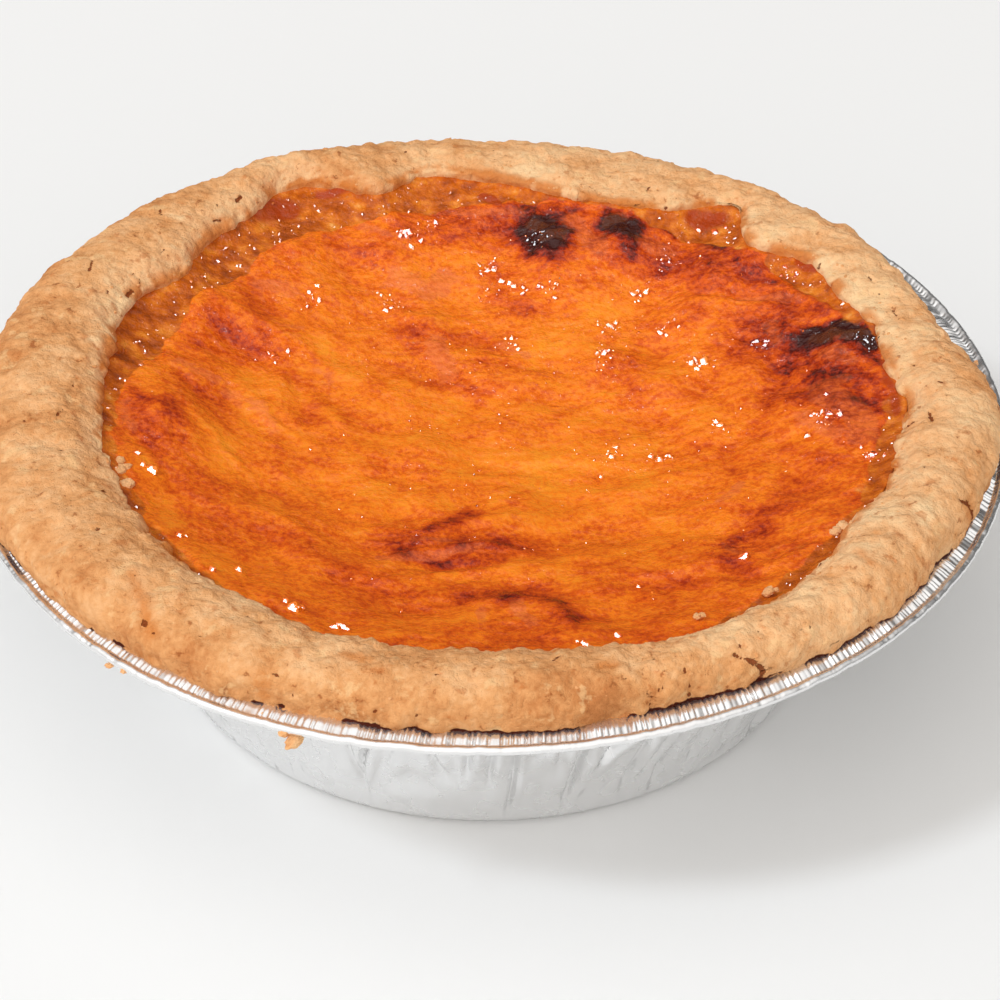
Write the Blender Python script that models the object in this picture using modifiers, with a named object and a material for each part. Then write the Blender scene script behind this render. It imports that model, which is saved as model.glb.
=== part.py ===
"""Mini sweet potato pie in its own foil tin.

Three pieces sit one inside the next: a pleated foil tin with a rolled bead, a pastry case with a thick
lumpy rim that leans over the tin's flange, and a baked filling whose skin has sunk in the middle.
Units are metres, +Z is up, and the origin is the middle of the tin's flat base.
"""

import math

import bmesh
import bpy
from mathutils import Vector, noise

# Name of the whole and steps round each piece
OBJECT_NAME = "mini_sweet_potato_pie"
STEPS = 96

# Gap between pieces that touch
GAP = 0.0003

# Foil tin, measured on the outside of the sheet
FOIL = 0.0003
RIM_RADIUS = 0.0630
BASE_RADIUS = 0.0394
CORNER_REACH = 0.0020
CORNER_RISE = 0.0018
WALL_FOOT = (0.0421, 0.0040)
WALL_HEAD = (0.0516, 0.0274)
FLANGE_START = (0.0532, 0.0303)
FLANGE_END = (0.0603, 0.0303)
BEAD_RADIUS = 0.00095
BEAD_HEIGHT = 0.03015
BEAD_ANGLES = (90, 45, 0, -45, -90, -135)
PLEAT_DEPTH = 0.0006
PLEAT_SPREAD = 0.45

# Slow rise and fall of the flange and bead, which the pastry follows
RIM_WAVES = ((-128, 26, -0.00025), (-55, 30, 0.00030), (20, 24, -0.00020), (110, 40, 0.00015))

# Pastry case
CASE_THICKNESS = 0.0036
CASE_FILLET = 0.0012
EDGE_RADIUS = 0.0488
EDGE_HEIGHT = 0.0346
EDGE_BLEND_HEIGHT = 0.0250
CROWN_RADIUS = 0.0553
CROWN_HEIGHT = 0.0369
CROWN_FOLLOW = 0.45
OUTER_RADIUS = 0.0604
OUTER_HEIGHT = 0.0334
OUTER_UNDERCUT = 0.0013
PASTRY_LUMP = 0.0007
PASTRY_LUMP_SIZE = 0.0105

# Each bump is its azimuth and half width in degrees and its size in metres, from +X towards +Y
EDGE_BUMPS = (
    (-178, 16, -0.0020),
    (-156, 12, -0.0014),
    (-105, 20, 0.0014),
    (-60, 27, 0.0036),
    (-18, 12, 0.0008),
    (-4, 6, 0.0012),
    (14, 9, 0.0011),
    (35, 8, 0.0020),
    (43, 6, -0.0026),
    (52, 6, 0.0054),
    (72, 17, -0.0030),
    (88, 7, 0.0012),
    (99, 7, 0.0026),
    (108, 5, -0.0022),
    (119, 9, 0.0054),
    (137, 8, 0.0010),
    (147, 6, -0.0028),
    (157, 8, 0.0008),
)
OUTER_BUMPS = (
    (172, 42, 0.0017),
    (-140, 30, 0.0007),
    (-62, 22, -0.0005),
    (-50, 9, 0.0007),
    (-8, 22, 0.0009),
    (66, 34, -0.0007),
)
CROWN_BUMPS = (
    (165, 30, 0.0004),
    (62, 30, -0.0014),
    (25, 18, -0.0010),
    (100, 11, -0.0012),
    (-20, 22, 0.0003),
)

# Filling
FLOOR_HEIGHT = 0.0274
DISH_POWER = 2.7
SKIN_DROP = 0.0003
SKIN_WRINKLE = 0.0009
SKIN_WRINKLE_SIZE = 0.0085
SKIN_SHARES = (1.0, 0.94, 0.88, 0.81, 0.73, 0.64, 0.54, 0.43, 0.32, 0.21, 0.10, 0.0)

# Each swelling of the skin is its place in X and Y, its radius and its height
SKIN_SWELLINGS = (
    (0.0073, 0.0338, 0.0042, 0.0014),
    (0.0177, 0.0353, 0.0036, 0.0012),
    (0.0278, 0.0328, 0.0040, 0.0008),
    (0.0444, 0.0095, 0.0044, 0.0013),
    (0.0421, -0.0023, 0.0060, 0.0010),
    (0.0050, -0.0395, 0.0050, 0.0014),
    (-0.0035, -0.0215, 0.0055, 0.0009),
    (-0.0396, -0.0028, 0.0060, 0.0013),
    (-0.0247, 0.0341, 0.0055, 0.0009),
    (0.0110, -0.0080, 0.0130, -0.0010),
)


def smooth_step(value, low, high):
    """0 below low, 1 above high and an even curve between them."""
    share = min(max((value - low) / (high - low), 0.0), 1.0)
    return share * share * (3.0 - 2.0 * share)


def mix(first, second, share):
    """The value that lies this share of the way from the first to the second."""
    return first + (second - first) * share


def bump_sum(azimuth, bumps):
    """Sum of rounded bumps at this azimuth in radians."""
    total = 0.0
    for centre, width, size in bumps:
        away = (math.degrees(azimuth) - centre + 180.0) % 360.0 - 180.0
        total += size * math.exp(-((away / width) ** 2))
    return total


def lump(point, grain, seed):
    """Smooth noise from -1 to 1 whose lumps are about one grain across."""
    return noise.noise(Vector(point) / grain + Vector((seed, 2.0 * seed, 3.0 * seed)))


def offset_section(points, distance):
    """The section moved by this distance towards the inside of the tin, its corners mitred."""
    turned = []
    for start, end in zip(points, points[1:]):
        along = Vector((end[0] - start[0], end[1] - start[1])).normalized()
        turned.append(Vector((-along.y, along.x)))
    moved = []
    for index, point in enumerate(points):
        before = turned[max(index - 1, 0)]
        after = turned[min(index, len(turned) - 1)]
        middle = (before + after).normalized()
        reach = distance / middle.dot(before)
        moved.append((point[0] + middle.x * reach, point[1] + middle.y * reach))
    return moved


def sheet_section():
    """Outer side of the foil from the base's rim to the end of the flange."""
    corner_mid = (BASE_RADIUS + 0.6 * CORNER_REACH, 0.25 * CORNER_RISE)
    corner_end = (BASE_RADIUS + CORNER_REACH, CORNER_RISE)
    shoulder = (mix(WALL_HEAD[0], FLANGE_START[0], 0.45), mix(WALL_HEAD[1], FLANGE_START[1], 0.72))
    return [
        (BASE_RADIUS, 0.0),
        corner_mid,
        corner_end,
        WALL_FOOT,
        WALL_HEAD,
        shoulder,
        FLANGE_START,
        FLANGE_END,
    ]


def bead_section():
    """Inner side of the foil where it rolls over into the bead."""
    inside = BEAD_RADIUS - FOIL
    centre = RIM_RADIUS - BEAD_RADIUS
    points = []
    for angle in BEAD_ANGLES:
        turn = math.radians(angle)
        points.append((centre + inside * math.cos(turn), BEAD_HEIGHT + inside * math.sin(turn)))
    return points


def rim_lift(radius, azimuth):
    """How far the flange is bent up or down at this radius and azimuth."""
    reach = smooth_step(radius, WALL_HEAD[0], FLANGE_END[0])
    return reach * bump_sum(azimuth, RIM_WAVES)


def edge_radius(azimuth):
    """Radius at which the pastry's inner edge meets the filling."""
    return EDGE_RADIUS + bump_sum(azimuth, EDGE_BUMPS)


def case_wall(height, azimuth):
    """Radius of the inside of the pastry case at this height."""
    foot, head = offset_section([WALL_FOOT, WALL_HEAD], FOIL + GAP + CASE_THICKNESS)
    slope = (head[0] - foot[0]) / (head[1] - foot[1])
    straight = foot[0] + slope * (height - foot[1])
    blend = smooth_step(height, EDGE_BLEND_HEIGHT, EDGE_HEIGHT)
    return mix(straight, edge_radius(azimuth), blend)


def wrap_sheet(name, rows, section, steps=STEPS):
    """A mesh made by wrapping a grid once round the Z axis.

    The grid has one row for each point of the section, and section(row, azimuth) gives that point's radius
    and height. A section that starts under the middle and runs outwards and up gives faces that point out.
    The seam and any row at radius zero are merged, so the result is closed there. Each face is cut along
    its shorter diagonal, so that two neighbouring sheets bend alike and keep their gap.
    """
    mesh = bpy.data.meshes.new(name)
    body = bmesh.new()
    bmesh.ops.create_grid(body, x_segments=steps, y_segments=rows - 1, size=1.0)
    body.verts.ensure_lookup_table()
    for vertex in body.verts:
        column = round((vertex.co.x + 1.0) / 2.0 * steps) % steps
        row = round((vertex.co.y + 1.0) / 2.0 * (rows - 1))
        azimuth = math.tau * column / steps
        radius, height = section(row, azimuth)
        vertex.co = (radius * math.cos(azimuth), radius * math.sin(azimuth), height)
    bmesh.ops.remove_doubles(body, verts=body.verts, dist=1e-7)
    bmesh.ops.triangulate(body, faces=body.faces, quad_method="SHORT_EDGE")
    body.to_mesh(mesh)
    body.free()
    mesh.shade_smooth()
    return mesh


def finish_material(name, colour, roughness, metallic=0.0):
    """A Principled material in one plain colour."""
    material = bpy.data.materials.new(name)
    material.use_nodes = True
    shader = material.node_tree.nodes["Principled BSDF"]
    shader.inputs["Base Color"].default_value = (*colour, 1.0)
    shader.inputs["Roughness"].default_value = roughness
    shader.inputs["Metallic"].default_value = metallic
    return material


def place(mesh, material, collection):
    """An object of this mesh in the collection, in this material."""
    mesh.materials.append(material)
    piece = bpy.data.objects.new(mesh.name, mesh)
    collection.objects.link(piece)
    return piece


def make_foil_tin(collection):
    """The pressed foil tin: flat base, pleated wall, flange and rolled bead."""
    outline = [(0.0, 0.0)] + sheet_section() + bead_section()
    pleated = {3: 0.6, 4: 1.0, 5: 1.0, 6: 0.45}

    def section(row, azimuth):
        radius, height = outline[row]
        column = round(azimuth / math.tau * STEPS)
        ridge = column % 2
        uneven = 1.0 + PLEAT_SPREAD * noise.noise(Vector((column * 0.37, 0.5, 0.0)))
        radius += pleated.get(row, 0.0) * ridge * PLEAT_DEPTH * uneven
        return radius, height + rim_lift(radius, azimuth)

    mesh = wrap_sheet("foil_tin", len(outline), section)
    foil = finish_material("foil", (0.78, 0.78, 0.79), 0.32, metallic=1.0)
    tin = place(mesh, foil, collection)
    wall = tin.modifiers.new("sheet", "SOLIDIFY")
    wall.thickness = FOIL
    wall.offset = -1.0
    wall.use_even_offset = True
    return tin


def rim_points(azimuth):
    """The pastry's rim at this azimuth, from under its outer edge over the crown to its inner edge."""
    inner = edge_radius(azimuth)
    crown = CROWN_RADIUS + CROWN_FOLLOW * (inner - EDGE_RADIUS)
    top = CROWN_HEIGHT + bump_sum(azimuth, CROWN_BUMPS)
    outer = OUTER_RADIUS + bump_sum(azimuth, OUTER_BUMPS)
    points = [(outer - 0.35 * OUTER_UNDERCUT, OUTER_HEIGHT - 0.0013)]
    for degrees in (90, 66, 44, 22, 0):
        turn = math.radians(degrees)
        points.append(
            (
                crown + (outer - crown) * math.sin(turn),
                OUTER_HEIGHT + (top - OUTER_HEIGHT) * math.cos(turn),
            )
        )
    for degrees in (24, 48, 70, 90):
        turn = math.radians(degrees)
        points.append(
            (
                crown - (crown - inner) * math.sin(turn),
                EDGE_HEIGHT + (top - EDGE_HEIGHT) * math.cos(turn) ** 1.2,
            )
        )
    return points


def make_pie_crust(collection):
    """The pastry case: a lining that follows the tin and a thick rounded rim on its flange."""
    lining = [(0.0, FOIL + GAP)] + offset_section(sheet_section(), FOIL + GAP)[:-1]
    rim_count = len(rim_points(0.0))
    first_rim = len(lining) + 1
    inside_heights = (0.0300, 0.0200, 0.0075)
    floor = FOIL + GAP + CASE_THICKNESS
    rows = first_rim + rim_count + len(inside_heights) + 2

    def section(row, azimuth):
        if row < len(lining):
            radius, height = lining[row]
            return radius, height + rim_lift(radius, azimuth)
        if row == len(lining):
            outer = OUTER_RADIUS + bump_sum(azimuth, OUTER_BUMPS) - OUTER_UNDERCUT
            return outer, lining[-1][1] + rim_lift(outer, azimuth)
        if row < first_rim + rim_count:
            radius, height = rim_points(azimuth)[row - first_rim]
            place_there = (radius * math.cos(azimuth), radius * math.sin(azimuth), height)
            rough = PASTRY_LUMP * lump(place_there, PASTRY_LUMP_SIZE, 4.0)
            at_edge = row == first_rim + rim_count - 1
            return radius, height + (0.0 if at_edge else rough)
        inner = row - first_rim - rim_count
        if inner < len(inside_heights):
            height = inside_heights[inner]
            return case_wall(height, azimuth), height
        if inner == len(inside_heights):
            return case_wall(floor, azimuth) - CASE_FILLET, floor
        return 0.0, floor

    mesh = wrap_sheet("pie_crust", rows, section)
    pastry = finish_material("pastry", (0.66, 0.38, 0.17), 0.85)
    return place(mesh, pastry, collection)


def skin_height(x, y, share):
    """Height of the filling's skin at a share of the way from the middle to the pastry."""
    dish = mix(FLOOR_HEIGHT, EDGE_HEIGHT - SKIN_DROP, share**DISH_POWER)
    wrinkle = SKIN_WRINKLE * lump((x, y, 0.0), SKIN_WRINKLE_SIZE, 9.0)
    swelling = 0.0
    for centre_x, centre_y, radius, height in SKIN_SWELLINGS:
        away = math.hypot(x - centre_x, y - centre_y) / radius
        swelling += height * math.exp(-away * away)
    held = 1.0 - smooth_step(share, 0.86, 1.0)
    return dish + held * wrinkle + swelling * (0.35 + 0.65 * held)


def make_pie_filling(collection):
    """The filling: it fills the pastry case, and its skin dips towards the middle."""
    side_heights = (0.0075, 0.0200, 0.0300)
    floor = FOIL + GAP + CASE_THICKNESS + GAP
    first_ring = len(side_heights) + 2
    rows = first_ring + len(SKIN_SHARES)

    def section(row, azimuth):
        if row == 0:
            return 0.0, floor
        if row == 1:
            return case_wall(floor, azimuth) - CASE_FILLET - 2.0 * GAP, floor
        if row < first_ring:
            height = side_heights[row - 2]
            return case_wall(height, azimuth) - GAP, height
        share = SKIN_SHARES[row - first_ring]
        radius = share * (edge_radius(azimuth) - GAP)
        x = radius * math.cos(azimuth)
        y = radius * math.sin(azimuth)
        return radius, skin_height(x, y, share)

    mesh = wrap_sheet("pie_filling", rows, section)
    filling = finish_material("baked_filling", (0.78, 0.24, 0.03), 0.25)
    return place(mesh, filling, collection)


def main():
    """Clears the scene and models the pie from the tin inwards."""
    for old in list(bpy.data.objects):
        bpy.data.objects.remove(old)
    collection = bpy.data.collections.new(OBJECT_NAME)
    bpy.context.scene.collection.children.link(collection)
    make_foil_tin(collection)
    make_pie_crust(collection)
    make_pie_filling(collection)


main()
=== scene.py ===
"""Looks of a small sweet potato pie in its own foil tin.

Every length is in metres unless a name says millimetres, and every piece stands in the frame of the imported
model: +Z is up and the origin is the middle of the tin's flat base. The pie is dressed from the outside
inwards: the foil, the pastry, the filling, and then the small things that lie on them.
"""

import logging
import math
import random
from collections.abc import Sequence
from dataclasses import dataclass, field
from enum import Enum

import bmesh
import bpy
import numpy as np
from mathutils import Matrix, Vector, noise


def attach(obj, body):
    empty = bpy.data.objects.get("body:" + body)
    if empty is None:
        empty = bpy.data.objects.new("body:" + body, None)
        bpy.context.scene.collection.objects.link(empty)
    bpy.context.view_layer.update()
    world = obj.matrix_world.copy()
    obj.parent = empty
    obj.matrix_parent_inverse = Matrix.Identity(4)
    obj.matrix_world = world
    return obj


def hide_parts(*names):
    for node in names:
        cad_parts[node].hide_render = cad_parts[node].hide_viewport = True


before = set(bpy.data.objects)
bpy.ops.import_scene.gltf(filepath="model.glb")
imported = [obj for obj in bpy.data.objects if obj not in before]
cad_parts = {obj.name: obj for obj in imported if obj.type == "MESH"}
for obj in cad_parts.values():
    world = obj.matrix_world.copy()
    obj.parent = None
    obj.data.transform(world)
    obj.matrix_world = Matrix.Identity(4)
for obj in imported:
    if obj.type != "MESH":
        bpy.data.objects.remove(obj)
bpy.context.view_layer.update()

LOG = logging.getLogger("pie")

Array = np.ndarray
Bumps = Sequence[tuple[float, float, float]]
Rgb = tuple[int, int, int]
Stops = Sequence[tuple[float, Rgb]]
Socket = bpy.types.NodeSocket


class Slot(Enum):
    """Material slots of the record."""

    FOIL = "foil"
    PASTRY = "pastry"
    FILLING = "baked_filling"


class Node(Enum):
    """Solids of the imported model."""

    TIN = "foil_tin"
    CRUST = "pie_crust"
    FILLING = "pie_filling"


class Operation(Enum):
    """Sums that a material's nodes can do."""

    ADD = "ADD"
    SUBTRACT = "SUBTRACT"
    MULTIPLY = "MULTIPLY"
    MULTIPLY_ADD = "MULTIPLY_ADD"


def smooth_step(value: Array, low: float, high: float) -> Array:
    """An even curve from 0 at low to 1 at high.

    Args:
        value: Numbers to look up.
        low: Where the curve leaves 0. It may be over high, and then the curve falls.
        high: Where the curve reaches 1.

    Returns:
        The curve's height for each number.
    """
    share = np.clip((value - low) / (high - low), 0.0, 1.0)
    return share * share * (3.0 - 2.0 * share)


def mix(first: Array, second: Array, share: Array) -> Array:
    """The value that lies this share of the way from the first to the second."""
    return first + (second - first) * share


def bump_sum(azimuth: Array, bumps: Bumps) -> Array:
    """Sum of rounded bumps round the pie.

    Args:
        azimuth: Angles in radians from +X towards +Y.
        bumps: The azimuth and half width in degrees, and the size, of each bump.

    Returns:
        The sum at each angle.
    """
    degrees = np.degrees(azimuth)
    total = np.zeros_like(degrees)
    for centre, width, size in bumps:
        away = (degrees - centre + 180.0) % 360.0 - 180.0
        total += size * np.exp(-((away / width) ** 2))
    return total


def places(points: Array, grain: float, seed: float) -> list[list[float]]:
    """Places to look up a pattern of this grain at, as plain lists."""
    return (points.reshape(-1, 3) / grain + np.array((seed, 2.0 * seed, 3.0 * seed))).tolist()


def lumps(points: Array, grain: float, seed: float, octaves: int = 1) -> Array:
    """Smooth noise from about -1 to 1.

    Args:
        points: Places, with x, y and z along the last axis.
        grain: Size of the largest lumps.
        seed: Moves the pattern, so that two patterns differ.
        octaves: How many layers there are, each of half the size of the one before.

    Returns:
        The noise at each place.
    """
    if octaves == 1:
        flat = [noise.noise(spot) for spot in places(points, grain, seed)]
    else:
        flat = [noise.fractal(spot, 1.0, 2.0, octaves) for spot in places(points, grain, seed)]
    return np.array(flat).reshape(points.shape[:-1])


def pillows(points: Array, grain: float, seed: float) -> Array:
    """Rounded lumps set side by side, 1 in the middle of each."""
    nearest = np.array([noise.voronoi(spot)[0][0] for spot in places(points, grain, seed)])
    return (1.0 - np.clip(nearest, 0.0, 1.0) ** 2).reshape(points.shape[:-1])


def plan_points(x: Array, y: Array, angle: float = 0.0, stretch: float = 1.0) -> Array:
    """Places on the pie seen from above, drawn out along a direction.

    Args:
        x: Places across.
        y: Places away from the viewer.
        angle: Direction in degrees from +X towards +Y.
        stretch: How many times longer a pattern looked up here is along that direction.

    Returns:
        The places, with x, y and z along the last axis.
    """
    turn = math.radians(angle)
    along = x * math.cos(turn) + y * math.sin(turn)
    across = y * math.cos(turn) - x * math.sin(turn)
    return np.stack([along / stretch, across, np.zeros_like(x)], axis=-1)


class Stroke:
    """A soft-edged mark on the pie seen from above, drawn along a path."""

    def __init__(self, width: float, strength: float, *path: float) -> None:
        """Notes where the mark runs.

        Args:
            width: Half width in millimetres.
            strength: The mark's value along its middle.
            path: x and y of each point of the path in millimetres, one after the other.
        """
        self.width = width / 1000.0
        self.strength = strength
        points = np.array(path).reshape(-1, 2) / 1000.0
        self.starts = points if len(points) == 1 else points[:-1]
        self.ends = points if len(points) == 1 else points[1:]

    def cover(self, x: Array, y: Array) -> Array:
        """How strongly the mark covers each place.

        Args:
            x: Places across.
            y: Places away from the viewer.

        Returns:
            The mark's value at each place.
        """
        nearest = np.ones_like(x)
        for start, end in zip(self.starts, self.ends):
            run = end - start
            share = ((x - start[0]) * run[0] + (y - start[1]) * run[1]) / max(run @ run, 1e-12)
            share = np.clip(share, 0.0, 1.0)
            away = (x - start[0] - share * run[0]) ** 2 + (y - start[1] - share * run[1]) ** 2
            nearest = np.minimum(nearest, away)
        return self.strength * np.exp(-nearest / self.width**2)


def stroke_sum(x: Array, y: Array, strokes: Sequence[Stroke]) -> Array:
    """Sum of the marks at each place."""
    return sum((stroke.cover(x, y) for stroke in strokes), np.zeros_like(x))


def stroke_peak(x: Array, y: Array, strokes: Sequence[Stroke]) -> Array:
    """The strongest mark at each place, with a soft change from one to the next."""
    return sum((stroke.cover(x, y) ** 3 for stroke in strokes), np.zeros_like(x)) ** (1.0 / 3.0)


def screen_colour(red: int, green: int, blue: int) -> tuple[float, float, float, float]:
    """The linear colour that shows as these screen values.

    Args:
        red: From 0 to 255.
        green: From 0 to 255.
        blue: From 0 to 255.

    Returns:
        The linear colour, fully solid.
    """
    channels = []
    for value in (red, green, blue):
        level = value / 255.0
        channels.append(level / 12.92 if level <= 0.04045 else ((level + 0.055) / 1.055) ** 2.4)
    return (channels[0], channels[1], channels[2], 1.0)


class Board:
    """The nodes of one material, with short ways to add the kinds used here."""

    def __init__(self, name: str) -> None:
        """Starts a material whose board holds one Principled shader.

        Args:
            name: The material's name.
        """
        self.material = bpy.data.materials.new(name)
        self.material.use_nodes = True
        self.tree = self.material.node_tree
        self.shader = self.tree.nodes["Principled BSDF"]
        self.place = self.tree.nodes.new("ShaderNodeTexCoord").outputs["Object"]

    def feed(self, socket: Socket, value: object) -> None:
        """Sets an input to a plain value, or links it to an output.

        Args:
            socket: The input.
            value: A number, a colour or an output.
        """
        if isinstance(value, bpy.types.NodeSocket):
            self.tree.links.new(value, socket)
        else:
            socket.default_value = value

    def set_shader(self, **values: object) -> None:
        """Sets inputs of the Principled shader, named with underscores for spaces."""
        for name, value in values.items():
            self.feed(self.shader.inputs[name.replace("_", " ")], value)

    def attribute(self, name: str) -> Socket:
        """A value that the mesh holds at each point.

        Args:
            name: The value's name on the mesh.

        Returns:
            The value.
        """
        node = self.tree.nodes.new("ShaderNodeAttribute")
        node.attribute_name = name
        return node.outputs["Fac"]

    def noise(self, grain: float, detail: float = 3.0, roughness: float = 0.55) -> Socket:
        """Noise from 0 to 1.

        Args:
            grain: Size of the largest lumps, about.
            detail: How many finer layers lie over them.
            roughness: How strong each layer is against the one before.

        Returns:
            The noise.
        """
        node = self.tree.nodes.new("ShaderNodeTexNoise")
        node.inputs["Scale"].default_value = 1.0 / grain
        node.inputs["Detail"].default_value = detail
        node.inputs["Roughness"].default_value = roughness
        self.tree.links.new(self.place, node.inputs["Vector"])
        return node.outputs["Fac"]

    def cells(self, grain: float, stir: float) -> Socket:
        """Grains packed side by side: 0 in the middle of each and about 1 between them.

        Args:
            grain: Size of one grain.
            stir: How far the grains are pushed out of shape.

        Returns:
            The distance from the nearest middle.
        """
        swirl = self.tree.nodes.new("ShaderNodeTexNoise")
        swirl.inputs["Scale"].default_value = 0.5 / grain
        self.tree.links.new(self.place, swirl.inputs["Vector"])
        moved = self.tree.nodes.new("ShaderNodeVectorMath")
        moved.operation = Operation.MULTIPLY_ADD.value
        self.tree.links.new(swirl.outputs["Color"], moved.inputs[0])
        moved.inputs[1].default_value = (stir, stir, stir)
        self.tree.links.new(self.place, moved.inputs[2])
        node = self.tree.nodes.new("ShaderNodeTexVoronoi")
        node.inputs["Scale"].default_value = 1.0 / grain
        self.tree.links.new(moved.outputs["Vector"], node.inputs["Vector"])
        return node.outputs["Distance"]

    def math(self, operation: Operation, first: object, second: object = 0.0, third: object = 0.0) -> Socket:
        """One sum of two or three values or outputs.

        Args:
            operation: What is done with them.
            first: The first value or output.
            second: The second one.
            third: The third one, where the operation takes three.

        Returns:
            The result.
        """
        node = self.tree.nodes.new("ShaderNodeMath")
        node.operation = operation.value
        for socket, value in zip(node.inputs, (first, second, third)):
            self.feed(socket, value)
        return node.outputs["Value"]

    def shifted(self, level: Socket, pattern: Socket, depth: float) -> Socket:
        """The level moved up and down by a pattern that runs from 0 to 1."""
        return self.math(Operation.MULTIPLY_ADD, self.math(Operation.SUBTRACT, pattern, 0.5), depth, level)

    def ease(self, value: Socket, low: float, high: float) -> Socket:
        """An even curve from 0 to 1.

        Args:
            value: The output to look up.
            low: Where the curve leaves 0. It may be over high, and then the curve falls.
            high: Where the curve reaches 1.

        Returns:
            The curve's height.
        """
        node = self.tree.nodes.new("ShaderNodeMapRange")
        node.interpolation_type = "SMOOTHSTEP"
        self.feed(node.inputs["Value"], value)
        node.inputs["From Min"].default_value = low
        node.inputs["From Max"].default_value = high
        return node.outputs["Result"]

    def ramp(self, value: Socket, stops: Stops) -> Socket:
        """A colour looked up along a row of screen colours.

        Args:
            value: The output to look up.
            stops: The colours, each with its place from 0 to 1.

        Returns:
            The colour.
        """
        node = self.tree.nodes.new("ShaderNodeValToRGB")
        elements = node.color_ramp.elements
        while len(elements) < len(stops):
            elements.new(0.5)
        for element, (position, colour) in zip(elements, stops):
            element.position = position
            element.color = screen_colour(*colour)
        self.feed(node.inputs["Fac"], value)
        return node.outputs["Color"]

    def blend(self, share: object, first: object, second: object) -> Socket:
        """One colour laid over another.

        Args:
            share: How much the upper colour covers.
            first: The lower colour.
            second: The upper colour.

        Returns:
            The colour that shows.
        """
        node = self.tree.nodes.new("ShaderNodeMix")
        node.data_type = "RGBA"
        self.feed(node.inputs["Factor"], share)
        self.feed(node.inputs[6], first)
        self.feed(node.inputs[7], second)
        return node.outputs[2]

    def tint(self, share: Socket, strength: float, under: Socket, colour: Rgb) -> Socket:
        """A colour with one screen colour laid over it by a share times a strength."""
        return self.blend(self.math(Operation.MULTIPLY, share, strength), under, screen_colour(*colour))

    def bump(self, height: Socket, depth: float) -> Socket:
        """Fine relief.

        Args:
            height: The relief's height, as a share of the depth.
            depth: How high the relief stands where its height is 1.

        Returns:
            The surface's direction.
        """
        node = self.tree.nodes.new("ShaderNodeBump")
        node.inputs["Distance"].default_value = depth
        self.feed(node.inputs["Height"], height)
        return node.outputs["Normal"]


@dataclass(frozen=True)
class FoilFinish:
    """Bright thin aluminium with soft dents and a slight haze."""

    metal: float = 0.92
    roughness: float = 0.20
    haze: float = 0.14
    dent_size: float = 0.0040
    dent_depth: float = 0.00024
    colour: Rgb = (238, 238, 238)

    def build(self) -> bpy.types.Material:
        """Makes the material.

        Returns:
            The foil.
        """
        board = Board("foil")
        dents = board.noise(self.dent_size, detail=2.0)
        board.set_shader(
            Base_Color=screen_colour(*self.colour),
            Metallic=self.metal,
            Roughness=board.math(Operation.MULTIPLY_ADD, dents, self.haze, self.roughness),
            Normal=board.bump(dents, self.dent_depth),
        )
        return board.material


@dataclass(frozen=True)
class PastryFinish:
    """Dry baked pastry: pale crumbs, toasted freckles, and red-brown in its cracks and along its foot, where
    the dark foot is partly scorch and partly painted shade against the foil.
    """

    stops: Stops = (
        (0.0, (255, 214, 162)),
        (0.30, (248, 190, 134)),
        (0.50, (234, 167, 107)),
        (0.72, (208, 135, 78)),
        (1.0, (158, 86, 42)),
    )
    pale_fleck: Rgb = (252, 206, 148)
    brown_fleck: Rgb = (200, 112, 50)
    gap_colour: Rgb = (156, 78, 32)
    stain_colour: Rgb = (214, 120, 40)
    crack_colour: Rgb = (132, 58, 20)
    scorch_and_shade_colour: Rgb = (84, 32, 17)
    patch_size: float = 0.0060
    speck_size: float = 0.0009
    fleck_size: float = 0.0026
    ragged_size: float = 0.0007
    crumb_size: float = 0.0011
    crumb_stir: float = 0.0005
    relief_depth: float = 0.00060
    roughness: float = 0.85
    shine: float = 0.15

    def build(self) -> bpy.types.Material:
        """Makes the material.

        Returns:
            The pastry, which reads toast, stain, pit and burn from the mesh; burn darkens the foot with
            scorch and painted shade.
        """
        board = Board("pastry")
        broad = board.noise(self.patch_size, detail=5.0, roughness=0.62)
        speck = board.noise(self.speck_size, detail=5.0, roughness=0.68)
        fleck = board.noise(self.fleck_size, detail=4.0, roughness=0.6)
        ragged = board.noise(self.ragged_size, detail=3.0, roughness=0.6)
        cells = board.cells(self.crumb_size, self.crumb_stir)
        level = board.shifted(board.attribute("toast"), broad, 0.75)
        level = board.shifted(level, speck, 0.62)
        level = board.shifted(level, cells, 0.12)
        colour = board.ramp(level, self.stops)
        colour = board.tint(board.ease(fleck, 0.42, 0.34), 0.50, colour, self.pale_fleck)
        colour = board.tint(board.ease(fleck, 0.60, 0.68), 0.50, colour, self.brown_fleck)
        gaps = board.ease(board.shifted(cells, speck, 1.3), 0.88, 1.06)
        colour = board.tint(gaps, 0.60, colour, self.gap_colour)
        colour = board.tint(board.attribute("stain"), 1.0, colour, self.stain_colour)
        crack = board.ease(board.shifted(board.attribute("pit"), ragged, 1.6), 0.55, 0.70)
        colour = board.tint(crack, 0.90, colour, self.crack_colour)
        # Scorch and painted shade: the foot of the pastry turns near black where it sits on the foil.
        scorch_and_shade = board.ease(board.shifted(board.attribute("burn"), ragged, 1.4), 0.35, 0.6)
        colour = board.tint(scorch_and_shade, 1.0, colour, self.scorch_and_shade_colour)
        height = board.math(Operation.MULTIPLY_ADD, cells, -0.12, speck)
        height = board.math(Operation.MULTIPLY_ADD, crack, -0.35, height)
        board.set_shader(
            Base_Color=colour,
            Roughness=self.roughness,
            Specular_IOR_Level=self.shine,
            Normal=board.bump(height, self.relief_depth),
        )
        return board.material


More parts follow.
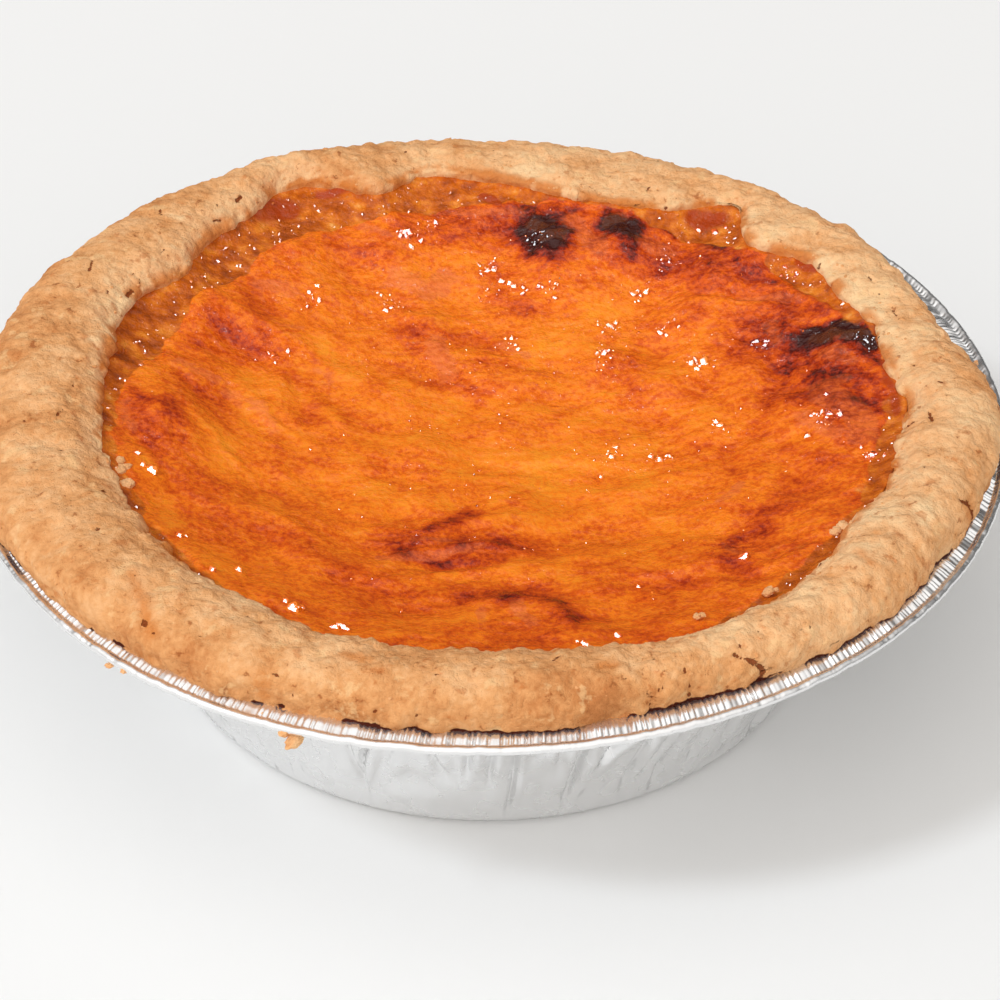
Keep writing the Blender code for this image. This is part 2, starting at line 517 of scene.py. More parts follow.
@dataclass(frozen=True)
class SkinFinish:
    """Glossy skin of the baked filling, from bright orange through burnt orange to black blisters."""

    stops: Stops = (
        (0.0, (255, 154, 36)),
        (0.30, (248, 125, 20)),
        (0.50, (220, 88, 8)),
        (0.70, (170, 48, 4)),
        (0.85, (106, 21, 4)),
        (1.0, (58, 13, 6)),
    )
    # Painted reflection: salmon sheen colours, grey-brown over the black blisters, used where soft
    # reflections would show.
    painted_sheen_stops: Stops = (
        (0.0, (250, 136, 60)),
        (0.45, (226, 106, 46)),
        (0.70, (178, 68, 26)),
        (1.0, (92, 42, 20)),
    )
    amber_stops: Stops = (
        (0.24, (136, 56, 4)),
        (0.42, (178, 80, 10)),
        (0.56, (206, 102, 18)),
        (0.70, (228, 130, 36)),
        (0.86, (238, 170, 88)),
    )
    red_colour: Rgb = (168, 58, 12)
    mottle_size: float = 0.0007
    cloud_size: float = 0.0024
    wave_size: float = 0.0016
    wave_depth: float = 0.0020
    pore_depth: float = 0.00022
    roughness: float = 0.6
    shine: float = 0.05
    coat_roughness: float = 0.08
    coat_ior: float = 1.38

    def build(self) -> bpy.types.Material:
        """Makes the material.

        Returns:
            The skin and its syrup, which read bake, painted sheen, clear, syrup, red and wet from the mesh.
            The sheen is painted reflection, and the syrup value also carries painted shade along the front
            rim.
        """
        board = Board("baked_filling")
        mottle = board.noise(self.mottle_size, detail=4.0, roughness=0.66)
        cloud = board.noise(self.cloud_size, detail=5.0, roughness=0.62)
        level = board.shifted(board.attribute("bake"), board.ease(mottle, 0.38, 0.64), 0.18)
        level = board.shifted(level, cloud, 0.34)
        colour = board.ramp(level, self.stops)
        # Painted sheen: the skin is paled to salmon, or to grey-brown over the blisters, where soft
        # reflections would show.
        painted_sheen = board.ease(board.shifted(board.attribute("painted_sheen"), cloud, 1.1), 0.36, 0.56)
        painted_sheen = board.math(Operation.MULTIPLY, painted_sheen, 0.75)
        colour = board.blend(painted_sheen, colour, board.ramp(level, self.painted_sheen_stops))
        amber = board.math(Operation.MULTIPLY_ADD, cloud, 1.3, -0.13)
        amber = board.ramp(board.math(Operation.ADD, amber, board.attribute("clear")), self.amber_stops)
        # The syrup value also carries painted shade along the front rim of the filling.
        syrup = board.ease(board.shifted(board.attribute("syrup"), cloud, 0.9), 0.35, 0.65)
        colour = board.blend(syrup, colour, amber)
        red = board.ease(board.shifted(board.attribute("red"), cloud, 0.8), 0.30, 0.70)
        colour = board.tint(red, 0.9, colour, self.red_colour)
        waves = board.math(Operation.SUBTRACT, board.noise(self.wave_size, detail=3.0, roughness=0.5), 0.5)
        waves = board.math(Operation.MULTIPLY, board.shifted(waves, mottle, 0.08), board.attribute("wet"))
        board.set_shader(
            Base_Color=colour,
            Roughness=self.roughness,
            Specular_IOR_Level=self.shine,
            Normal=board.bump(mottle, self.pore_depth),
            Coat_Weight=1.0,
            Coat_Roughness=self.coat_roughness,
            Coat_IOR=self.coat_ior,
            Coat_Normal=board.bump(waves, self.wave_depth),
        )
        return board.material


@dataclass(frozen=True)
class FloorFinish:
    """Plain pale matt floor."""

    colour: Rgb = (240, 240, 239)
    roughness: float = 0.7
    shine: float = 0.1

    def build(self) -> bpy.types.Material:
        """Makes the material.

        Returns:
            The floor's finish.
        """
        board = Board("floor")
        colour = screen_colour(*self.colour)
        board.set_shader(Base_Color=colour, Roughness=self.roughness, Specular_IOR_Level=self.shine)
        return board.material


@dataclass
class Sheet:
    """A grid of faces that is bent into a surface."""

    name: str
    columns: int
    rows: int
    mesh: bpy.types.Mesh = field(init=False)
    column: Array = field(init=False)
    row: Array = field(init=False)

    def __post_init__(self) -> None:
        """Makes the flat grid and notes each point's column and row."""
        self.mesh = bpy.data.meshes.new(self.name)
        body = bmesh.new()
        bmesh.ops.create_grid(body, x_segments=self.columns, y_segments=self.rows, size=1.0)
        body.to_mesh(self.mesh)
        body.free()
        flat = np.empty(len(self.mesh.vertices) * 3, np.float32)
        self.mesh.vertices.foreach_get("co", flat)
        flat = flat.reshape(-1, 3)
        self.column = np.rint((flat[:, 0] + 1.0) / 2.0 * self.columns).astype(int)
        self.row = np.rint((flat[:, 1] + 1.0) / 2.0 * self.rows).astype(int)

    def bend(self, points: Array, values: dict[str, Array]) -> None:
        """Moves each point to its place and writes named values on the mesh.

        Args:
            points: Places by row and column.
            values: Numbers by row and column, under the names that a material reads.
        """
        self.mesh.vertices.foreach_set("co", points[self.row, self.column].astype(np.float32).ravel())
        for name, numbers in values.items():
            layer = self.mesh.attributes.new(name, "FLOAT", "POINT")
            layer.data.foreach_set("value", numbers[self.row, self.column].astype(np.float32))

    def close(self) -> None:
        """Welds the open edges that meet, along the seam and at the poles."""
        body = bmesh.new()
        body.from_mesh(self.mesh)
        edge = [vertex for vertex in body.verts if vertex.is_boundary]
        bmesh.ops.remove_doubles(body, verts=edge, dist=1e-7)
        body.to_mesh(self.mesh)
        body.free()


def turns(columns: int, rows: int) -> Array:
    """Azimuths for a grid that is wrapped once round the pie.

    Args:
        columns: How many faces the grid has round the pie.
        rows: How many it has across.

    Returns:
        The azimuth of each point, by row and column.
    """
    azimuth = np.linspace(0.0, math.tau, columns + 1)
    azimuth[-1] = 0.0
    return np.broadcast_to(azimuth, (rows + 1, columns + 1))


def ring_points(radius: Array, height: Array, azimuth: Array) -> Array:
    """Places of points given by radius, height and azimuth."""
    return np.stack([radius * np.cos(azimuth), radius * np.sin(azimuth), height], axis=-1)


def ring_lumps(azimuth: Array, radius: float, grain: float, seed: float, octaves: int = 1) -> Array:
    """Noise along a level circle of this radius."""
    ring = ring_points(np.full_like(azimuth, radius), np.zeros_like(azimuth), azimuth)
    return lumps(ring, grain, seed, octaves)


def grid_normals(points: Array) -> Array:
    """Unit normals of a grid that is wrapped round the pie.

    Args:
        points: Places by row and column.

    Returns:
        The normals, on the side that a plain grid's faces point to.
    """
    ring = points[:, :-1]
    across = np.roll(ring, -1, axis=1) - np.roll(ring, 1, axis=1)
    across = np.concatenate([across, across[:, :1]], axis=1)
    normals = np.cross(across, np.gradient(points, axis=0))
    return normals / np.maximum(np.linalg.norm(normals, axis=2, keepdims=True), 1e-12)


def show(
    mesh: bpy.types.Mesh, material: bpy.types.Material, slot: Slot, *nodes: Node, smooth: bool = True
) -> bpy.types.Object:
    """Puts a finished mesh in the scene as a piece of the pie.

    Args:
        mesh: The piece's mesh, with its place in it.
        material: Its finish.
        slot: The record's slot that the finish belongs to. Not used.
        nodes: The solids that the piece stands for.
        smooth: False for a piece whose faces keep their edges.

    Returns:
        The new object.
    """
    if smooth:
        mesh.shade_smooth()
    else:
        mesh.shade_flat()
    mesh.materials.append(material)
    piece = bpy.data.objects.new(mesh.name, mesh)
    bpy.context.scene.collection.objects.link(piece)
    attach(piece, "root")
    if nodes:
        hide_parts(*[node.value for node in nodes])
    LOG.info("%s: %d faces", piece.name, len(mesh.polygons))
    return piece


@dataclass(frozen=True)
class PieShape:
    """The forms that the tin, the pastry and the filling share."""

    gap: float = 0.0003
    foil: float = 0.0003
    wall_foot: tuple[float, float] = (0.0421, 0.0040)
    wall_head: tuple[float, float] = (0.0516, 0.0274)
    flange_end: float = 0.0603
    case_thickness: float = 0.0036
    edge_base: float = 0.0488
    edge_height: float = 0.0346
    edge_blend_height: float = 0.0250
    rim_waves: Bumps = ((-128, 26, -0.00025), (-55, 30, 0.00030), (20, 24, -0.00020), (110, 40, 0.00015))
    edge_bumps: Bumps = (
        (-178, 16, -0.0020),
        (-156, 12, -0.0014),
        (-105, 20, 0.0014),
        (-60, 27, 0.0036),
        (-18, 12, 0.0008),
        (-4, 6, 0.0012),
        (14, 9, 0.0011),
        (35, 8, 0.0020),
        (43, 6, -0.0026),
        (52, 6, 0.0054),
        (72, 17, -0.0030),
        (88, 7, 0.0012),
        (99, 7, 0.0026),
        (108, 5, -0.0022),
        (119, 9, 0.0054),
        (137, 8, 0.0010),
        (147, 6, -0.0028),
        (157, 8, 0.0008),
    )
    skin_base: float = 0.0453
    skin_bumps: Bumps = (
        (-85, 42, 0.0080),
        (8, 20, 0.0044),
        (-28, 12, 0.0016),
        (44, 9, 0.0012),
        (160, 16, -0.0028),
        (139, 6, -0.0020),
    )

    def rim_lift(self, radius: Array, azimuth: Array) -> Array:
        """How far the tin's flange is bent up or down here."""
        return smooth_step(radius, self.wall_head[0], self.flange_end) * bump_sum(azimuth, self.rim_waves)

    def edge_radius(self, azimuth: Array) -> Array:
        """Radius at which the pastry's inner edge meets the filling."""
        return self.edge_base + bump_sum(azimuth, self.edge_bumps)

    def skin_radius(self, azimuth: Array) -> Array:
        """Radius at which the filling's skin ends. Where that is short of the pastry, syrup shows between."""
        wander = 0.0007 * ring_lumps(azimuth, 0.046, 0.0034, 51.0, octaves=3)
        return self.skin_base + bump_sum(azimuth, self.skin_bumps) + wander

    def case_wall(self, height: Array, azimuth: Array) -> Array:
        """Radius of the inside of the pastry case.

        Args:
            height: Heights over the floor.
            azimuth: Angles in radians.

        Returns:
            The radius at each height and angle.
        """
        run = self.wall_head[0] - self.wall_foot[0]
        rise = self.wall_head[1] - self.wall_foot[1]
        inset = (self.foil + self.gap + self.case_thickness) * math.hypot(run, rise) / rise
        straight = self.wall_foot[0] - inset + run / rise * (height - self.wall_foot[1])
        blend = smooth_step(height, self.edge_blend_height, self.edge_height)
        return mix(straight, self.edge_radius(azimuth), blend)


@dataclass
class FoilTin:
    """The pressed foil tin: a pleated bowl, and a crimped flange that ends in a rolled bead."""

    shape: PieShape
    finish: bpy.types.Material
    bowl_columns: int = 1600
    rim_columns: int = 3240
    creases: int = 84
    crease_depth: float = 0.0016
    facet_depth: float = 0.00060
    facet_size: float = 0.075
    crimps: int = 560
    crimp_depth: float = 0.00020
    base_radius: float = 0.0394
    corner: tuple[float, float] = (0.0020, 0.0018)
    rim_radius: float = 0.0630
    bead_radius: float = 0.0005
    bead_height: float = 0.0311
    flange_height: float = 0.0303

    def bowl_outline(self) -> Array:
        """Outer side of the foil from the middle of the base to the foot of the flange.

        Returns:
            Radius and height of each point.
        """
        base = self.base_radius
        reach, rise = self.corner
        foot, head = self.shape.wall_foot, self.shape.wall_head
        points = [(base * share, 0.0) for share in (0.0, 0.4, 0.8, 0.95, 1.0)]
        points += [(base + 0.35 * reach, 0.08 * rise), (base + 0.6 * reach, 0.25 * rise)]
        points += [(base + 0.85 * reach, 0.6 * rise), (base + reach, rise)]
        for step in range(25):
            points.append((mix(foot[0], head[0], step / 24), mix(foot[1], head[1], step / 24)))
        points += [(0.05190, 0.0283), (0.05225, 0.0291), (0.05270, 0.0298), (0.05330, 0.0302)]
        return np.array(points)

    def wall_push(self, azimuth: Array, height: Array) -> Array:
        """Outward push of the wall: soft facets, and creases that lean, bend and die out unevenly.

        Args:
            azimuth: Angles in radians, by row and column.
            height: Heights over the floor, by row and column.

        Returns:
            How far each point is pushed out.
        """
        rise = (height - self.shape.wall_foot[1]) / (self.shape.wall_head[1] - self.shape.wall_foot[1])
        spots = ring_points(np.ones_like(azimuth), 0.25 * rise, azimuth)
        push = self.facet_depth * lumps(spots, self.facet_size, 14.0, octaves=2)
        draw = random.Random(23)
        for number in range(self.creases):
            start = (number + draw.uniform(-0.4, 0.4)) * math.tau / self.creases
            lean, bow = draw.gauss(0.0, 0.08), draw.uniform(-0.12, 0.12)
            away = azimuth - start - lean * (rise - 0.5) - bow * (rise - 0.5) ** 2
            away = ((away + math.pi) % math.tau - math.pi) / draw.uniform(0.006, 0.012)
            low, high = draw.uniform(-0.15, 0.40), draw.uniform(0.70, 1.15)
            held = smooth_step(rise, low - 0.15, low + 0.20) * smooth_step(rise, high + 0.12, high - 0.15)
            crease = np.exp(-(away**2)) - 0.5 * np.exp(-(((away - 2.6) / 1.7) ** 2))
            push -= draw.uniform(0.2, 1.0) * self.crease_depth * held * crease
        return push * smooth_step(height, 0.0006, 0.0040) * smooth_step(height, 0.0302, 0.0270)

    def build_bowl(self) -> bpy.types.Object:
        """Base and wall as one thin sheet with an inner and an outer face.

        Returns:
            The piece.
        """
        outer = self.bowl_outline()
        along = np.gradient(outer, axis=0)
        along /= np.linalg.norm(along, axis=1, keepdims=True)
        inner = outer + self.shape.foil * np.stack([-along[:, 1], along[:, 0]], axis=1)
        inner[0] = (0.0, self.shape.foil)
        section = np.concatenate([outer, inner[::-1][::2]])
        sheet = Sheet("foil_bowl", self.bowl_columns, len(section) - 1)
        azimuth = turns(sheet.columns, sheet.rows)
        height = np.broadcast_to(section[:, 1:], azimuth.shape)
        radius = section[:, :1] + self.wall_push(azimuth, height)
        sheet.bend(ring_points(radius, height, azimuth), {})
        sheet.close()
        return show(sheet.mesh, self.finish, Slot.FOIL, Node.TIN)

    def rim_outline(self) -> Array:
        """Section of the flange and its bead: out along the underside, round the bead and back on top.

        Returns:
            Radius and height of each point.
        """
        low, top = self.flange_height, self.flange_height + self.shape.foil
        points = [(0.0526, low - 0.0006), (0.0536, low), (0.0585, low + 0.0002), (0.0594, low + 0.0006)]
        points += [(0.0602, low + 0.0007), (0.0611, low + 0.0006), (0.0618, low + 0.0003)]
        middle, half = self.rim_radius - self.bead_radius, self.bead_radius
        for degrees in range(-150, 121, 27):
            turn = math.radians(degrees)
            points.append((middle + half * math.cos(turn), self.bead_height + half * math.sin(turn)))
        points += [(0.06195, top + 0.00048), (0.0616, top + 0.00055), (0.0611, top + 0.00080)]
        points += [(0.0606, top + 0.00095), (0.0600, top + 0.0010), (0.0594, top + 0.0009)]
        points += [(0.0588, top + 0.0006), (0.0580, top + 0.0002), (0.0536, top), (0.0527, top - 0.0006)]
        return np.array(points)

    def build_rim(self) -> bpy.types.Object:
        """The flange and bead, crimped all round.

        Returns:
            The piece.
        """
        section = self.rim_outline()
        section = np.concatenate([section, section[:1]])
        sheet = Sheet("foil_rim", self.rim_columns, len(section) - 1)
        azimuth = turns(sheet.columns, sheet.rows)
        broad = ring_lumps(azimuth[0], 1.0, 0.04, 11.0, octaves=4)
        uneven = np.clip(0.80 + 1.8 * ring_lumps(azimuth[0], 1.0, 0.020, 17.0), 0.10, 2.0)
        wander = 3.6 * ring_lumps(azimuth[0], 1.0, 0.030, 5.0) + 1.8 * ring_lumps(azimuth[0], 1.0, 0.012, 8.0)
        turn = self.crimps * azimuth + wander + 900.0 * (section[:, :1] - 0.060)
        rope = np.abs(np.sin(turn / 2.0)) ** 0.8
        crimp = self.crimp_depth * (1.7 * (rope - 0.65) * uneven + 1.2 * broad)
        radius = np.broadcast_to(section[:, :1], azimuth.shape)
        held = smooth_step(section[:, 0], 0.0584, 0.0594) * smooth_step(section[:, 0], 0.0621, 0.0616)
        lip = smooth_step(section[:, 0], 0.0616, 0.0622)
        height = section[:, 1:] + held[:, None] * crimp + lip[:, None] * 0.00014 * broad
        height = height + self.shape.rim_lift(radius, azimuth)
        radius = radius - lip[:, None] * 0.00012 * np.abs(broad)
        sheet.bend(ring_points(radius, height, azimuth), {})
        sheet.close()
        return show(sheet.mesh, self.finish, Slot.FOIL, Node.TIN)


@dataclass
class PastryCase:
    """The pastry case: a lining that follows the tin and a thick lumpy rim on its flange."""

    shape: PieShape
    finish: bpy.types.Material
    columns: int = 1240
    rim_rows: int = 62
    crown_radius: float = 0.0553
    crown_height: float = 0.0369
    crown_follow: float = 0.45
    outer_base: float = 0.0604
    outer_height: float = 0.0334
    undercut: float = 0.0006
    lining_inset: float = 0.0022
    lining_top: float = 0.0308
    under_height: float = 0.0313
    top_limit: float = 0.0371
    under_share: float = 0.16
    crown_share: float = 0.54
    lump_depth: float = 0.00070
    knob_depth: float = 0.00044
    crumb_depth: float = 0.00028
    pillow_depth: float = 0.00036
    pillow_size: float = 0.0036
    toast_base: float = 0.39
    pit_count: int = 80
    outer_bumps: Bumps = (
        (172, 42, 0.0017),
        (-140, 30, 0.0007),
        (-62, 22, -0.0005),
        (-50, 9, 0.0007),
        (-8, 16, 0.0014),
        (16, 13, -0.0020),
        (66, 34, -0.0007),
    )
    crown_bumps: Bumps = (
        (165, 30, 0.0004),
        (62, 30, -0.0014),
        (25, 18, -0.0010),
        (100, 11, -0.0012),
        (-20, 22, 0.0003),
    )
    scorch_and_shade_bumps: Bumps = ((-35, 30, 0.8), (-84, 22, 0.50), (-120, 20, 0.20), (-150, 12, 0.20))
    seep_bumps: Bumps = ((62, 60, 0.45), (-12, 22, 0.3), (150, 30, 0.3))
    points: Array = field(init=False)
    normals: Array = field(init=False)
    cracks: Sequence[Stroke] = (
        Stroke(0.21, 1.00, -50.5, 23.7, -50.7, 21.3),
        Stroke(0.19, 0.90, -45.5, 22.4, -44.7, 22.1, -44.4, 21.3),
        Stroke(0.29, 1.00, -45.9, 18.6, -45.3, 19.8),
        Stroke(0.24, 0.80, -48.1, 17.6, -48.0, 18.0),
        Stroke(0.32, 1.00, -33.4, 40.5, -32.9, 41.3),
        Stroke(0.21, 0.80, -36.0, 36.3, -35.0, 36.9),
        Stroke(0.24, 0.80, -42.2, 26.9, -41.8, 27.6),
        Stroke(0.29, 1.00, -54.7, -10.3),
        Stroke(0.22, 0.90, -50.5, -8.3, -50.8, -9.7),
        Stroke(0.26, 0.70, -51.3, -10.8),
        Stroke(0.19, 0.60, -44.5, 34.2, -44.5, 32.4),
        Stroke(0.26, 0.80, -42.5, 35.7),
        Stroke(0.22, 0.70, -57.0, -2.0, -56.7, -1.5),
        Stroke(0.21, 0.70, -53.6, 9.9, -53.3, 8.8),
        Stroke(0.19, 0.60, -54.0, 2.3, -53.7, 1.2),
        Stroke(0.21, 0.70, -48.5, 2.9, -48.2, 1.8),
        Stroke(0.21, 0.80, -49.6, -1.7, -49.8, -3.4),
        Stroke(0.19, 0.60, -39.0, 26.5, -39.3, 25.6),
        Stroke(0.24, 0.50, -47.1, -27.4, -46.6, -28.3),
        Stroke(0.32, 0.60, -48.6, -36.9),
        Stroke(0.32, 0.50, -38.9, -39.7, -38.7, -41.2),
        Stroke(0.29, 0.50, -37.9, -44.6, -37.4, -46.3),
        Stroke(0.42, 1.00, -37.2, -46.9),
        Stroke(0.35, 0.50, -26.9, -52.4, -26.8, -53.2),
        Stroke(0.35, 1.00, 53.6, -25.5, 54.3, -25.4, 55.4, -24.8),
        Stroke(0.24, 0.90, 26.3, -52.6, 26.9, -52.8, 28.5, -52.6, 30.9, -52.7, 32.2, -52.4),
        Stroke(0.35, 1.00, 30.7, -52.7, 32.2, -52.4),
        Stroke(0.26, 0.70, 21.3, -55.8, 22.3, -56.3),
        Stroke(0.29, 0.50, 16.8, -57.4, 18.9, -56.5),
        Stroke(0.30, 0.50, 11.7, -55.3, 13.4, -55.1),
        Stroke(0.29, 0.50, 28.0, -49.6, 28.8, -49.7),
        Stroke(0.29, 0.50, 33.4, -48.8, 34.8, -48.2),
        Stroke(0.42, 1.00, 36.5, -49.8, 37.4, -49.6),
        Stroke(0.26, 0.90, 37.6, -49.4, 38.0, -48.1),
        Stroke(0.22, 0.70, 50.9, 16.0, 51.0, 13.9),
        Stroke(0.32, 0.70, 48.7, 22.7, 49.1, 21.7),
        Stroke(0.26, 0.80, 47.9, -10.4, 49.1, -8.8, 50.4, -9.7),
        Stroke(0.29, 0.90, 52.2, -8.9, 52.2, -10.6),
        Stroke(0.29, 0.50, -6.1, -56.2, -5.1, -57.0),
        Stroke(0.32, 0.50, -7.4, -59.8),
        Stroke(0.32, 0.60, -3.8, -59.9),
        Stroke(0.32, 0.50, -19.8, -56.6),
        Stroke(0.29, 0.50, 6.4, -59.5),
        Stroke(0.38, 0.60, -21.9, -57.9, -23.0, -57.7),
    )
    stains: Sequence[Stroke] = (
        Stroke(0.80, 0.60, -15.2, -53.2, -13.3, -53.9),
        Stroke(0.96, 0.50, -23.9, -55.5, -24.2, -57.7),
        Stroke(0.64, 0.60, 11.7, -55.3, 13.4, -55.1),
        Stroke(0.80, 0.60, -38.8, -40.3, -37.6, -44.1, -36.4, -48.0),
        Stroke(0.64, 0.50, 41.1, -37.0, 41.8, -38.8),
        Stroke(0.80, 0.50, 54.8, -26.1, 55.7, -25.4),
        Stroke(0.96, 0.35, 47.1, -27.9, 47.4, -32.3),
    )
    pales: Sequence[Stroke] = (
        Stroke(0.80, 1.00, -41.6, 35.2, -40.2, 34.6),
        Stroke(0.96, 0.90, -52.4, 3.7, -51.1, 3.1),
        Stroke(0.96, 0.90, -48.7, 6.7, -48.0, 6.4),
        Stroke(0.80, 0.70, -42.3, 28.8, -41.0, 28.3),
        Stroke(1.44, 0.70, -48.3, 12.3, -47.2, 15.7, -46.0, 18.1),
        Stroke(1.44, 0.60, -48.5, 0.5, -47.7, 3.8),
        Stroke(2.56, 0.80, 33.6, 37.6, 35.7, 34.0, 38.2, 32.9),
        Stroke(1.92, 0.60, 42.8, 25.7, 44.5, 22.9, 45.6, 20.4),
        Stroke(1.60, 0.50, 47.3, 17.7, 48.2, 13.6),
        Stroke(2.24, 0.70, 43.6, -30.1, 46.0, -29.1, 48.3, -28.5),
        Stroke(1.44, 0.60, 46.0, -32.5, 48.4, -31.1),
        Stroke(1.60, 0.50, 39.9, -37.6, 42.3, -35.7),
        Stroke(1.28, 0.40, -30.0, -30.2, -27.9, -32.4),
        Stroke(1.60, 0.50, -19.9, -54.2, -17.7, -55.4),
        Stroke(1.92, 0.60, -26.6, -56.1, -23.8, -57.7),
        Stroke(2.24, 0.40, -1.9, -58.6, 1.2, -59.0),
        Stroke(1.44, 0.50, -49.2, -20.7, -47.6, -22.6),
        Stroke(1.44, 0.50, 4.4, 50.2, 9.8, 49.0),
        Stroke(1.44, 0.50, 20.5, 45.9, 23.1, 44.2),
        Stroke(1.28, 0.50, -11.9, 50.1, -9.2, 49.6),
    )

    def rim_line(self, share: float, azimuth: Array) -> tuple[Array, Array]:
        """One ring of the rim, from its underside over its crown to its inner edge.

        Args:
            share: How far over the rim the ring lies, from 0 to 1.
            azimuth: Angles in radians.

        Returns:
            Radius and height at each angle.
        """
        inner = self.shape.edge_radius(azimuth)
        crown = self.crown_radius + self.crown_follow * (inner - self.shape.edge_base)
        top = self.crown_height + bump_sum(azimuth, self.crown_bumps)
        ragged = 0.00040 * ring_lumps(azimuth, 0.060, 0.0042, 35.0)
        ragged += 0.00022 * ring_lumps(azimuth, 0.060, 0.0015, 36.0)
        ragged = ragged * smooth_step(np.array(share), 0.30, 0.10)
        outer = self.outer_base + bump_sum(azimuth, self.outer_bumps) + ragged
        if share < self.under_share:
            turn = (1.0 - share / self.under_share) * math.pi / 2.0
            radius = outer - self.undercut * (1.0 - math.cos(turn))
            height = self.outer_height - (self.outer_height - self.under_height) * math.sin(turn)
            return radius, height + self.shape.rim_lift(radius, azimuth) + 0.6 * ragged
        if share < self.crown_share:
            turn = (share - self.under_share) / (self.crown_share - self.under_share) * math.pi / 2.0
            radius = crown + (outer - crown) * math.cos(turn)
            return radius, self.outer_height + (top - self.outer_height) * math.sin(turn)
        inward = (share - self.crown_share) / (1.0 - self.crown_share)
        torn = 0.0006 * ring_lumps(azimuth, 0.049, 0.0024, 33.0, octaves=3)
        torn = torn * smooth_step(np.array(share), 0.80, 1.0)
        radius = crown - (crown - inner) * inward**0.9 + torn
        return radius, self.shape.edge_height + (top - self.shape.edge_height) * (1.0 - inward**2.2)

    def surface(self) -> tuple[Array, Array]:
        """The smooth case before its relief.

        Returns:
            Places by row and column, and how much relief each row takes.
        """
        azimuth = turns(self.columns, 0)[0]
        clear = self.shape.foil + self.shape.gap
        foot, head = self.shape.wall_foot, self.shape.wall_head
        lining = [(0.0, clear), (0.0386, clear), (0.0400, 0.0020), (foot[0] - self.lining_inset, foot[1])]
        lining += [(head[0] - self.lining_inset, head[1]), (0.0528, self.lining_top)]
        rings = [(np.full_like(azimuth, radius), np.full_like(azimuth, height)) for radius, height in lining]
        relief = [0.0] * len(rings)
        for row in range(self.rim_rows + 1):
            rings.append(self.rim_line(row / self.rim_rows, azimuth))
            relief.append(min(row / self.rim_rows / 0.06, 1.0))
        floor = clear + self.shape.case_thickness
        for height in (0.0336, 0.0320, 0.0200, 0.0075):
            rings.append((self.shape.case_wall(np.array(height), azimuth), np.full_like(azimuth, height)))
        rings.append((self.shape.case_wall(np.array(floor), azimuth) - 0.0012, np.full_like(azimuth, floor)))
        rings.append((np.zeros_like(azimuth), np.full_like(azimuth, floor)))
        relief += [0.5, 0.0, 0.0, 0.0, 0.0, 0.0]
        return np.array([ring_points(radius, height, azimuth) for radius, height in rings]), np.array(relief)

    def pits(self, points: Array, live: Array) -> Array:
        """Small ragged holes.

        Args:
            points: The rim's points, one in each row.
            live: The points that may be pitted.

        Returns:
            How much of a hole each point has, from 0 to 1.
        """
        draw = random.Random(41)
        dark = np.zeros(len(points))
        for _ in range(self.pit_count):
            centre = points[live[draw.randrange(len(live))]]
            size = draw.uniform(0.00024, 0.00046)
            turn = draw.uniform(0.0, math.pi)
            stretch = draw.uniform(1.0, 2.4)
            near = np.nonzero(np.abs(points - centre).max(axis=1) < 0.003)[0]
            away = points[near] - centre
            along = (away[:, 0] * math.cos(turn) + away[:, 1] * math.sin(turn)) / stretch
            across = away[:, 1] * math.cos(turn) - away[:, 0] * math.sin(turn)
            hole = np.exp(-(along**2 + across**2 + away[:, 2] ** 2) / size**2)
            dark[near] = np.maximum(dark[near], draw.uniform(0.3, 0.9) * hole)
        return dark

    def build(self) -> bpy.types.Object:
        """Makes the case with all its relief and its colour values.

        Returns:
            The piece.
        """
        smooth, relief = self.surface()
        rows, columns = smooth.shape[:2]
        active = relief > 0.0
        spots = smooth[active]
        x, y = spots[..., 0], spots[..., 1]
        azimuth = np.arctan2(y, x)
        radius = np.hypot(x, y)
        wander = np.stack([lumps(spots, 0.0030, 81.0 + 4.0 * axis) for axis in range(3)], axis=-1)
        rubble = pillows(spots + 0.0009 * wander, self.pillow_size, 4.0)
        push = self.lump_depth * lumps(spots, 0.0105, 4.0) + self.knob_depth * lumps(spots, 0.0034, 12.0)
        push += self.pillow_depth * (rubble - 0.6) + self.crumb_depth * lumps(spots, 0.0014, 7.0, octaves=3)
        worn_x = x + 0.0003 * wander[..., 0]
        worn_y = y + 0.0003 * wander[..., 1]
        outside = smooth_step(spots[..., 2], 0.0310, 0.0325)
        crack = np.clip(stroke_sum(worn_x, worn_y, self.cracks) * outside, 0.0, 1.0)
        pale = np.clip(stroke_sum(worn_x, worn_y, self.pales) * outside, 0.0, 1.0)
        flat = spots.reshape(-1, 3)
        dark = self.pits(flat, np.nonzero(flat[:, 2] > 0.0335)[0]).reshape(push.shape)
        push += 0.00022 * pale - 0.00035 * crack - 0.00022 * dark
        self.normals = grid_normals(smooth)[active]
        self.points = spots + self.normals * (push * relief[active][:, None])[..., None]
        over = np.maximum(self.points[..., 2] - self.top_limit, 0.0)
        self.points[..., 2] += 0.0006 * np.tanh(over / 0.0006) - over
        bent = smooth.copy()
        bent[active] = self.points
        to_edge = radius - self.shape.edge_radius(azimuth)
        toast = self.toast_base + 0.10 * smooth_step(radius, 0.0565, 0.0610)
        toast -= 0.12 * smooth_step(to_edge, 0.0030, 0.0)
        # The pillow term pales the tops of the lumps and browns the hollows between them: painted light and
        # shade that follows the relief.
        toast += 0.20 * lumps(spots, 0.013, 21.0, octaves=2) - 0.14 * (rubble - 0.6) - 0.26 * pale
        toast += 0.04 * smooth_step(x, 0.0, -0.045) - 0.08 * smooth_step(x, 0.015, 0.055)
        toast += 0.06 * smooth_step(y, -0.042, -0.055)
